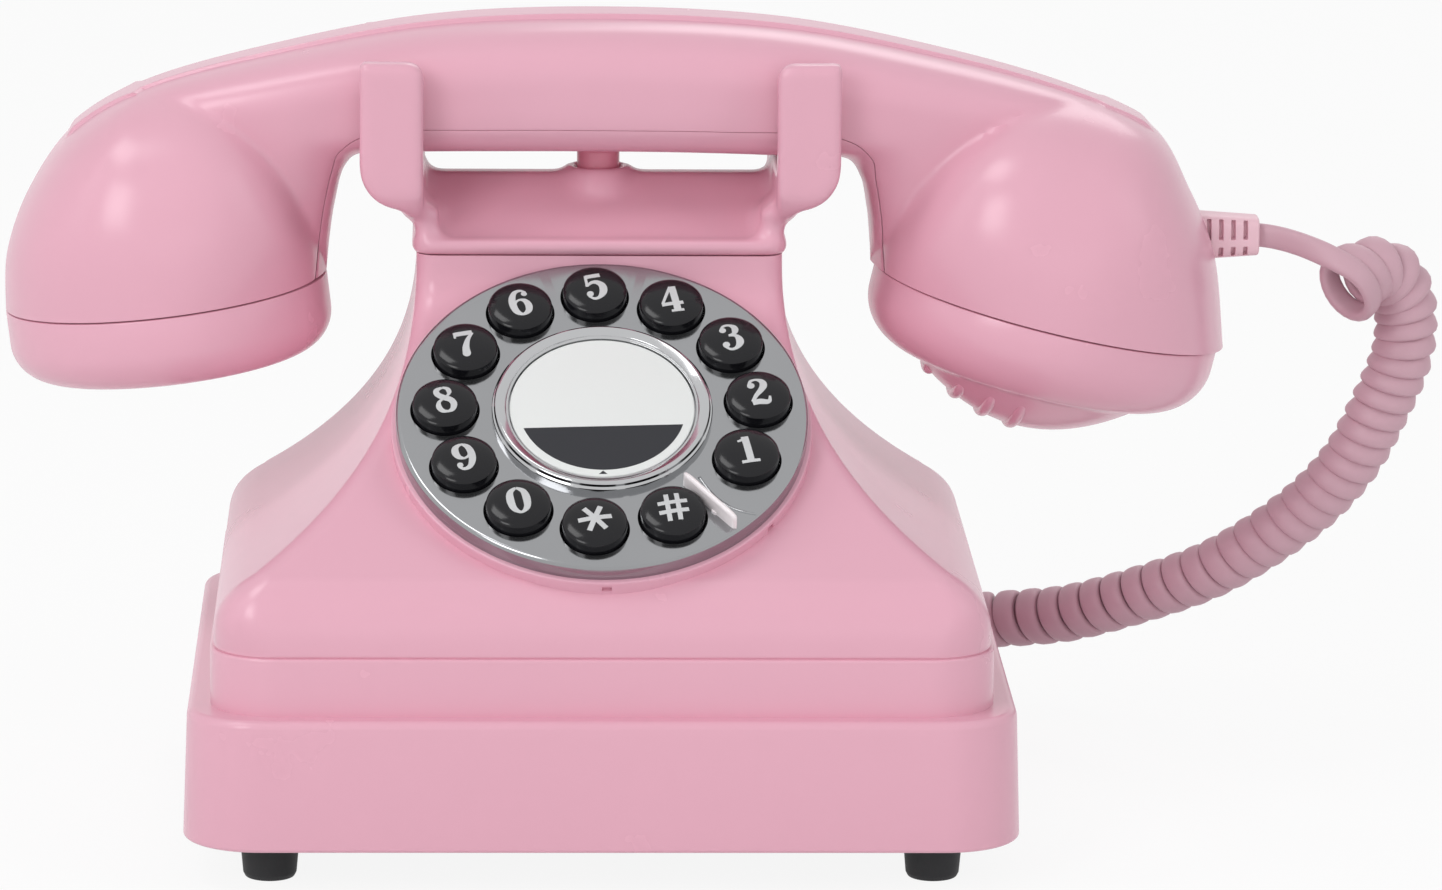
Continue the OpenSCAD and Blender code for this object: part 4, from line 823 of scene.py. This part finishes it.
# Pen strokes of the key marks: points x, y and pen width, in mm; a single point is a ball
MARKS = {
    "1": [[(0.15, 3.05, 1.3), (0.15, -2.7, 1.3)], [(0.2, 2.75, 0.7), (-0.5, 2.3, 0.6), (-1.3, 2.05, 0.45)],
          [(-1.5, -2.8, 0.6), (1.8, -2.8, 0.6)]],
    "2": [[(-1.1, 1.55, 1.35)],
          [(-1.45, 1.8, 0.5), (-0.9, 2.7, 0.6), (0.1, 2.88, 0.55), (1.0, 2.3, 1.1), (1.15, 1.35, 1.35),
           (0.55, 0.3, 1.1), (-0.6, -0.9, 0.8), (-1.55, -2.2, 0.6)],
          [(-1.6, -2.5, 1.0), (-0.3, -2.4, 1.15), (0.9, -2.65, 1.0), (1.5, -2.4, 0.7), (1.75, -1.4, 0.4)]],
    "3": [[(-1.15, 1.75, 1.25)], [(-1.2, -1.75, 1.3)],
          [(-1.45, 2.0, 0.45), (-0.8, 2.8, 0.55), (0.2, 2.85, 0.55), (1.0, 2.2, 1.1), (1.05, 1.35, 1.2),
           (0.55, 0.55, 0.7), (-0.35, 0.3, 0.45)],
          [(-0.35, 0.3, 0.45), (0.8, 0.1, 0.7), (1.35, -0.75, 1.3), (1.3, -1.7, 1.35), (0.5, -2.7, 0.7),
           (-0.6, -2.88, 0.5), (-1.5, -2.1, 0.45)]],
    "4": [[(0.35, 3.0, 0.6), (-1.8, -1.0, 0.5)], [(-1.95, -1.2, 0.75), (1.95, -1.2, 0.75)],
          [(0.65, 3.05, 1.3), (0.65, -2.75, 1.3)], [(-0.5, -2.85, 0.5), (1.8, -2.85, 0.5)]],
    "5": [[(-1.2, 2.55, 0.95), (1.4, 2.65, 0.95)], [(-1.25, 2.9, 0.5), (-1.4, 0.1, 0.5)], [(-1.2, -1.7, 1.25)],
          [(-1.35, 0.3, 0.5), (-0.4, 0.95, 0.7), (0.6, 0.8, 1.0), (1.35, -0.2, 1.35), (1.2, -1.6, 1.35),
           (0.3, -2.7, 0.7), (-0.7, -2.85, 0.5), (-1.5, -2.1, 0.45)]],
    "6": [[(1.05, 1.95, 1.1)],
          [(1.35, 2.25, 0.5), (0.5, 2.88, 0.6), (-0.6, 2.5, 0.9), (-1.3, 1.1, 1.25), (-1.4, -0.6, 1.3),
           (-1.0, -2.1, 1.1), (0, -2.85, 0.55), (1.1, -2.2, 1.1), (1.35, -1.0, 1.3), (0.95, 0.1, 1.0),
           (0.1, 0.55, 0.5), (-0.7, 0.2, 0.5), (-1.0, -0.4, 0.5)]],
    "7": [[(-1.55, 2.45, 1.1), (1.6, 2.5, 1.1)], [(-1.6, 2.95, 0.45), (-1.65, 1.5, 0.4)],
          [(1.65, 2.4, 0.5), (0.6, 0.9, 0.8), (-0.1, -0.9, 1.2), (-0.25, -2.4, 1.5)], [(-0.25, -2.35, 1.5)]],
    "8": [[(0, 2.88, 0.5), (-1.1, 2.35, 1.0), (-1.1, 1.3, 1.1), (-0.2, 0.4, 1.2), (0.95, -0.35, 1.2),
           (1.35, -1.4, 1.2), (0.9, -2.5, 0.9), (0, -2.88, 0.5), (-1.0, -2.5, 0.9), (-1.4, -1.5, 1.0),
           (-1.1, -0.5, 0.6), (-0.2, 0.15, 0.45), (0.75, 0.9, 0.5), (1.05, 1.7, 0.9), (0.8, 2.5, 0.8),
           (0, 2.88, 0.5)]],
    "0": [[(0, 2.88, 0.5), (-1.15, 1.9, 1.1), (-1.45, 0, 1.4), (-1.15, -1.9, 1.1), (0, -2.88, 0.5),
           (1.15, -1.9, 1.1), (1.45, 0, 1.4), (1.15, 1.9, 1.1), (0, 2.88, 0.5)]],
    "star": [[(3.0 * math.cos(a), 3.0 * math.sin(a), 0.95), (-3.0 * math.cos(a), -3.0 * math.sin(a), 0.95)]
             for a in (0.0, math.pi / 3, 2 * math.pi / 3)],
    "hash": [[(-0.75, 3.1, 0.85), (-1.15, -3.1, 0.85)], [(1.15, 3.1, 0.85), (0.75, -3.1, 0.85)],
             [(-2.6, 1.05, 0.85), (2.7, 1.05, 0.85)], [(-2.7, -1.05, 0.85), (2.6, -1.05, 0.85)]],
}
MARKS["9"] = [[(-x, -y, w) for x, y, w in stroke] for stroke in MARKS["6"]]
MARK_TURN = 11.0
KEY_RISE, KEY_CROWN = 3.0, 1.2


def dome_z(x, y):
    """Height of a key's domed top, a quarter ellipse from its rim to its middle."""
    return KEY_RISE - KEY_CROWN + KEY_CROWN * np.sqrt(clamp(1 - (x ** 2 + y ** 2) / (BUTTON_D / 2) ** 2))


def pen_stroke(stroke, lift):
    """A flat band of ink as wide as the pen, or a round dot, laid over the key's dome."""
    s = np.array(stroke, float)
    if len(s) == 1:
        r, a = np.meshgrid(np.linspace(0, s[0, 2] / 2, 4), np.linspace(0, 360, 25), indexing="ij")
        x, y = s[0, 0] + r * cos(a), s[0, 1] + r * sin(a)
    else:
        line = spline(s, 10)
        way = unit(np.gradient(line[:, :2], axis=0))
        across = np.linspace(-0.5, 0.5, 4)
        x = line[:, :1] - way[:, 1:] * line[:, 2:] * across
        y = line[:, 1:2] + way[:, :1] * line[:, 2:] * across
    turn = about_z(MARK_TURN)
    x, y = x * turn[0, 0] + y * turn[0, 1], x * turn[1, 0] + y * turn[1, 1]
    return plate(np.stack([x, y, dome_z(x, y) + lift], -1), (0, 0, 0.15))


def key_pieces():
    """Twelve domed keys with a flange under the plate and a stem, each with its mark on top."""
    names = ["1", "2", "3", "4", "5", "6", "7", "8", "9", "0", "star", "hash"]
    a = np.linspace(0, 90, 16)[1:]
    dome = np.stack([BUTTON_D / 2 * cos(a), KEY_RISE - KEY_CROWN + KEY_CROWN * sin(a)], 1)
    dome[-1, 0] = 0
    side = rounded([(0, -6.45), (2.5, -6.45), (2.5, -4.9, 0.3), (6.5, -4.9, 0.2), (6.5, -3.7, 0.2),
                    (5.75, -3.7), (5.75, 1.8)], 4)
    body = revolve(np.concatenate([side, dome]), 72)
    for name, angle in zip(names, KEY_ANGLES):
        shift = (BUTTON_R * cos(angle), BUTTON_R * sin(angle), 0)
        marks = [pen_stroke(stroke, 0.04 + 0.004 * i) for i, stroke in enumerate(MARKS[name])]
        placed = [at_dial(shifted(p, shift)) for p in (body, *marks)]
        obj = fill("key_cap_" + name, placed, [KEY, MARK], [0] + [1] * len(marks))
        finished(obj, "key_" + name, ("button_" + name,), 40)


key_pieces()


# ---------- cradle and plunger ----------
def cradle_piece():
    """The cradle's solid, remeshed finely and softened, so that its edges and corners are round."""
    obj = link("cradle_moulding", NODES["cradle"].data.copy())
    bm = bmesh.new()
    bm.from_mesh(obj.data)
    bmesh.ops.remove_doubles(bm, verts=bm.verts, dist=1e-6)
    bm.to_mesh(obj.data)
    bm.free()
    obj.data.materials.clear()
    obj.data.materials.append(PINK)
    # moved in and out again, the skin gets round edges and filled inner corners
    for k, step in enumerate((-0.0008, 0.0026, -0.0018)):
        remesh = obj.modifiers.new("remesh", "REMESH")
        remesh.mode, remesh.voxel_size = "VOXEL", 0.0005
        push = obj.modifiers.new("push", "DISPLACE")
        push.strength, push.mid_level = step, 0.0
    remesh = obj.modifiers.new("remesh", "REMESH")
    remesh.mode, remesh.voxel_size = "VOXEL", 0.0005
    soft = obj.modifiers.new("soft", "SMOOTH")
    soft.factor, soft.iterations = 0.5, 12
    bake_modifiers(obj)
    finished(obj, "root", ("cradle",), 180)


cradle_piece()


def plunger_piece():
    """A turned pin: stem, flange, barrel and a softly rounded crown."""
    tip, flange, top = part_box("hook_plunger")[0][2] / MM, 103.5, 119.6
    profile = rounded([(0, tip), (2, tip, 0.4), (2, flange - 1.5), (5.7, flange - 1.5, 0.2),
                       (5.7, flange, 0.2), (3.9, flange), (3.9, top, 1.0), (0, top)], 6)
    part = shifted(revolve(profile, 96), (0, CRADLE_Y, 0))
    finished(fill("plunger_pin", [part], [PLUNGER]), "plunger", ("hook_plunger",), 40)


plunger_piece()


# ---------- handset ----------
HANDSET_RIGHT, SKIN = 1.0, 2.5
EAR_R, MOUTH_R = 29.7, 32.6
SPINE_ANGLE, SPINE_H = 6.0, 0.9
# outer point, inner point, box half width on the outer and the inner side, seam angle
STATIONS = np.array([
    [-109.8, 89.3, -50.9, 96.4, 0, 0, 20],
    [-109.4, 100, -50.2, 103.5, 4, 11, 20],
    [-105.2, 111.6, -49.2, 110, 8, 15, 21],
    [-97.2, 122.6, -47.4, 116.6, 11, 16.5, 24],
    [-84, 130.5, -43.5, 119.7, 15.5, 17.2, 39],
    [-62, 136.8, -34, 119.9, 17.5, 17.8, 63],
    [-32, 142.5, -18, 119.9, 18, 18, 58],
    [0.5, 143.9, 0, 119.9, 18, 18, 56],
    [33, 142.3, 18, 119.7, 18, 18, 58],
    [62, 136.9, 34, 119.3, 17.5, 17.8, 63],
    [85, 130.6, 43.5, 118.9, 15.5, 17.2, 39],
    [101, 123.3, 47.1, 114.6, 11, 16.5, 24],
    [107.8, 112.4, 48.6, 108, 8, 15, 21],
    [112.7, 100, 49.1, 103, 4, 11, 20],
    [114.7, 82.9, 49.3, 98.4, 0, 0, 20],
])
SPAN_STEPS = 14
RAIL = spline(STATIONS, SPAN_STEPS)
ALONG = np.arange(len(RAIL)) / SPAN_STEPS


def cup_width(points, end):
    """Half width at those points of the round dome over a cup. At height h over the rim and distance
    t from the cup's axis it is Y(h) (1 - |t/r(h)|^n)^(1/n), a circle at the rim that turns squarer
    towards the top. Y falls as (1 - (h/H)^2.6)^(1/2.6), and H is the outer rail's apex. r is the
    rail's own distance on the outer side, and an ellipse on the handle's side."""
    outer, inner = STATIONS[end, 0:2], STATIONS[end, 2:4]
    across = unit(inner - outer)
    up = np.array([-across[1], across[0]]) * (1 if end == 0 else -1)
    middle, radius = (outer + inner) / 2, np.linalg.norm(outer - inner) / 2
    deep = EAR_R if end == 0 else MOUTH_R
    rail = (RAIL[:7 * SPAN_STEPS, 0:2] if end == 0 else RAIL[:7 * SPAN_STEPS:-1, 0:2]) - middle
    far, high = -(rail @ across), rail @ up
    n = int(np.argmax(far < 0.3))
    t, h = (points - middle) @ across, (points - middle) @ up
    outside = np.interp(h, high[:n + 1], np.append(far[:n], 0.0), right=0.0)
    k = clamp(h / high[n])
    reach = np.maximum(np.where(t < 0, outside, radius * np.sqrt(1 - k ** 2)), 0.01)
    square = 2 + np.where(t < 0, 0.5, 1.8) * k
    return deep * (1 - k ** 2.6) ** (1 / 2.6) * (1 - clamp(np.abs(t) / reach) ** square) ** (1 / square)


def section(a, depth, lift):
    """Points at angles a of every section, between an outer and an inner rail.
    Angle 0 is the inner side and 180 the outer one; depth goes inwards from the skin and lift outwards.
    Half width is the 10th-power sum, to the power 1/10, of the cups' domes and of the handle's box,
    which is b (1 - |cos a|^m)^(1/m)."""
    outer, inner = RAIL[:, 0:2], RAIL[:, 2:4]
    middle, half = (outer + inner) / 2, np.linalg.norm(outer - inner, axis=1, keepdims=True) / 2
    way = unit(outer - inner)
    flat = middle[:, None] - way[:, None] * (cos(a) * half)[..., None]
    dome = np.maximum(cup_width(flat, 0), cup_width(flat, 14))
    dome = dome * clamp(1 - clamp(cos(a)) ** 14) ** 0.25
    share = ease(0.5 + 0.5 * cos(a))
    m = lerp(3.1, 4.0, ease(0.5 + cos(a)))
    bar = np.maximum(lerp(RAIL[:, 4:5], RAIL[:, 5:6], share), 0)
    web = bar * clamp(1 - np.abs(cos(a)) ** m) ** (1 / m)
    y = (dome ** 10 + web ** 10) ** 0.1
    y = np.sign(sin(a)) * y * (1 - depth / y.max(1, keepdims=True))
    place = middle[:, None] - way[:, None] * (cos(a) * (half - depth + lift))[..., None]
    return np.stack([place[..., 0] + HANDSET_RIGHT, CRADLE_Y + y, place[..., 1]], -1)


def skin(a, lift=0.0):
    """A closed shell between the outer surface and the same surface moved inwards by the wall."""
    rings = np.concatenate([section(a, 0.0, lift), section(a[:, ::-1], SKIN, 0.0)], 1)
    n = a.shape[1]
    points, quads = surface(rings, wrap_columns=True)
    j = np.arange(n - 1)
    last = (len(rings) - 1) * 2 * n
    ends = [np.stack([s + j, s + j + 1, s + 2 * n - 2 - j, s + 2 * n - 1 - j], 1) for s in (0, last)]
    return points, np.concatenate([quads, *ends])


def handset_pieces():
    """The outer shell with its raised spine, and the inner strip, parted from it by a fine seam."""
    seam = RAIL[:, 6:7]
    u = np.linspace(0, 1, 56)[:-1]
    near = np.linspace(-9, 9, 60)
    side = lerp(seam + 0.4, 180 - 9, u[None, :])
    crest = np.broadcast_to(180 + near, (len(RAIL), len(near)))
    a = np.concatenate([side, crest, 360 - side[:, ::-1]], 1)
    rise = SPINE_H * ease((ALONG[:, None] - 2.85) / 0.25) * ease((11.05 - ALONG[:, None]) / 0.3)
    edge = ease((SPINE_ANGLE + 0.35 - np.abs(a - 180)) / 1.1)
    pinch = 0.12 * (ease(1 - (a - seam - 0.4) / 0.9) + ease(1 - (360 - seam - 0.4 - a) / 0.9))
    shell = fill("handset_shell_skin", [skin(a, rise * edge - pinch)], [PINK])
    hole = revolve([(0, -8), (4.55, -8), (4.55, 8), (0, 8)], 48)
    carve(shell, "DIFFERENCE", [moved(hole, about_y(90), (108.0, CRADLE_Y, RELIEF_Z))])
    finished(shell, "handset", ("handset_shell",), 42)
    b = np.linspace(-1, 1, 61)[None, :] * (seam - 0.4)
    pinch = 0.12 * ease(1 - (seam - 0.4 - np.abs(b)) / 0.9)
    strip = fill("handset_strip_skin", [skin(b, -pinch)], [PINK])
    screw = revolve([(0, -3), (3.0, -3), (3.0, 1.6), (1.6, 1.6), (1.6, 6), (0, 6)], 32)
    screws = [shifted(screw, (x + HANDSET_RIGHT, CRADLE_Y, 119.9)) for x in (-20, 20)]
    carve(strip, "DIFFERENCE", screws)
    finished(strip, "handset", ("handset_inner_strip",), 42)


handset_pieces()


def at_cup(part, end):
    """Places a part whose Z is a cup's axis, with the cup's rim in its XY plane."""
    outer, inner = STATIONS[end, 0:2], STATIONS[end, 2:4]
    middle = (outer + inner) / 2
    lean = math.degrees(math.atan2(abs(outer[0] - inner[0]), outer[1] - inner[1]))
    side = -1 if outer[0] < inner[0] else 1
    return moved(part, about_y(side * (lean - 90)), (middle[0] + HANDSET_RIGHT, CRADLE_Y, middle[1]))


def cap_profile(r, depth, corner, bulge, face_r):
    """A cap's closed outline: sleeve, skirt, round corner, bulging face, and the same inside."""
    sleeve = r - SKIN - 1.7
    inner = sleeve - 1.4
    a = np.linspace(0, 90, 19)
    k = np.linspace(0, 1, 17)
    turn = np.stack([r - corner + corner * cos(a), corner - depth - corner * sin(a)], 1)
    face = np.stack([face_r * (1 - k), -depth - bulge * (1 - (1 - k) ** 2)], 1)
    face[-1, 0] = 0
    back = face[::-1] + (0, SKIN)
    within = [[inner - 4, SKIN - depth], [inner, 2 * SKIN + 1 - depth], [inner, 3]]
    rim = [[sleeve, 3], [sleeve, -0.3], [r - 0.25, -0.3], [r - 0.08, -0.38], [r, -0.6]]
    return np.concatenate([turn, face[1:], back, within, rim])


MOUTH_BULGE, MOUTH_FACE_R = 9.5, 22.6


def sound_holes(bore, spacing, rings, end):
    """Copies of a bore on a cup's face: one in the middle, then 6, 12 ... on rings that far apart."""
    holes = []
    for ring in range(rings):
        for k in range(max(1, 6 * ring)):
            r, a = spacing * ring, 60 * k / max(ring, 1)
            holes.append(at_cup(shifted(bore, (r * cos(a), r * sin(a), 0)), end))
    return holes


def cup_cap_pieces():
    """Screw-in caps: a plain one at the ear, and one with a bulging, ribbed grille at the mouth."""
    ear = cap_profile(EAR_R, 13.8, 7, 0, 21.7)
    obj = fill("ear_cap_turned", [at_cup(revolve(ear, 160, True), 0)], [PINK])
    bore = revolve([(0, -15.5), (0.9, -15.5), (0.9, -9), (0, -9)], 20)
    carve(obj, "DIFFERENCE", sound_holes(bore, 4.2, 3, 0))
    finished(obj, "handset", ("ear_cap",), 40)
    mouth = cap_profile(MOUTH_R, 14, 9.5, MOUTH_BULGE, MOUTH_FACE_R)
    obj = fill("mouth_cap_turned", [at_cup(revolve(mouth, 160, True), 14)], [PINK])
    bore = revolve([(0, -26), (1, -26), (1, -12), (0, -12)], 20)
    carve(obj, "DIFFERENCE", sound_holes(bore, 6, 2, 14))
    finished(obj, "handset", ("mouth_cap",), 40)
    # four rounded ribs that cross the grille from front to back, each following its bulge
    side, t = np.linspace(-1, 1, 41), np.arange(20) * 18
    parts = []
    for x in (-18.5, -12.8, -7.2, -1.6):
        y = side * math.sqrt(19.5 ** 2 - x ** 2)
        z = -13.6 - MOUTH_BULGE * (1 - (x ** 2 + y ** 2) / MOUTH_FACE_R ** 2)
        r = 1.2 * np.sqrt(clamp(1 - side ** 8))[:, None] + 0.01
        rib = np.stack([x + r * cos(t), np.repeat(y[:, None], 20, 1), z[:, None] + r * sin(t)], -1)
        parts.append(at_cup(capped_loft(rib), 14))
    finished(fill("mouth_grille_ribs", parts, [PINK]), "handset", (), 45)


cup_cap_pieces()


SLOT = 1.6


def strain_relief_piece():
    """A soft square grommet that tapers to the cord, with four rows of slots pressed into its sides.
    Its section is |y|^4 + |z|^4 = 1; slots are where a row mask and a side mask meet, sunk by SLOT."""
    x0, x1, length, tip_r = 105.2, 110.4, 11.5, 0.5
    tip = x1 + length - tip_r
    x = np.concatenate([[x0 - 2, x0 - 2], np.linspace(x0 - 1.9, x1, 10), np.linspace(x1, tip, 230)[1:],
                        tip + tip_r * np.sin(np.linspace(0.2, 1, 6) * math.pi / 2), [x1 + length]])
    r = lerp(4.3, 3.55, clamp((x - x1) / length))
    r = r - tip_r * (1 - np.sqrt(clamp(1 - clamp((x - tip) / tip_r) ** 2)))
    r[[0, -1]] = 0.01
    a = np.arange(240) * 1.5
    power = 4.0
    reach = (np.abs(cos(a)) ** power + np.abs(sin(a)) ** power) ** (-1 / power)
    rows = (x - x1 - 1.5) / 2.27
    inside_row = ease((0.5 - np.abs((rows % 1) - 0.25) * 2.6) * 6) * (rows > 0) * (rows < 4)
    height = r[:, None] * reach * sin(a)
    level = height / r[:, None]
    long_slot = ease((level + 0.12) * 8) * ease((0.86 - level) * 10)
    short_slot = ease((-0.42 - level) * 8) * ease((level + 0.9) * 10)
    on_side = np.abs(cos(a)) > 0.55
    sink = SLOT * inside_row[:, None] * clamp(long_slot + short_slot) * on_side
    y = np.sign(cos(a)) * np.maximum(r[:, None] * reach * np.abs(cos(a)) - sink, 0.02)
    y = np.where(np.abs(cos(a)) < 1e-9, 0, y)
    rings = np.stack([np.repeat(x[:, None], len(a), 1), CRADLE_Y + y, RELIEF_Z + height], -1)
    finished(fill("slotted_relief", [capped_loft(rings)], [RELIEF]), "handset", ("strain_relief",), 50)


strain_relief_piece()


# ---------- nodes that keep their own solids ----------
KEPT = {
    BLACK: ["bottom_plate", "handset_jack", "line_jack", "hook_switch", "receiver_capsule",
            "microphone_capsule", "ringer_speaker", "switch_bracket"],
    STEEL: ["base_screws", "housing_screws", "board_screws", "dial_screws", "cradle_screws",
            "handset_screws", "lever_pin", "handset_weight"],
    IRON: ["ballast_weight"],
    SPRING: ["plunger_spring", "hook_lever"],
    BOARD: ["main_board", "keypad_board"],
    MEMBRANE: ["keypad_membrane"],
    PLUG: ["handset_plug"],
}
for material, names in KEPT.items():
    for name in names:
        NODES[name].data.materials.clear()
        NODES[name].data.materials.append(material)

FLOOR_HALF = 4000.0
floor_corners = np.array([[-1, -1, 0], [1, -1, 0], [1, 1, 0], [-1, 1, 0]]) * FLOOR_HALF
floor = fill("ground", [(floor_corners, np.array([[0, 1, 2, 3]]))], [floor_finish()])
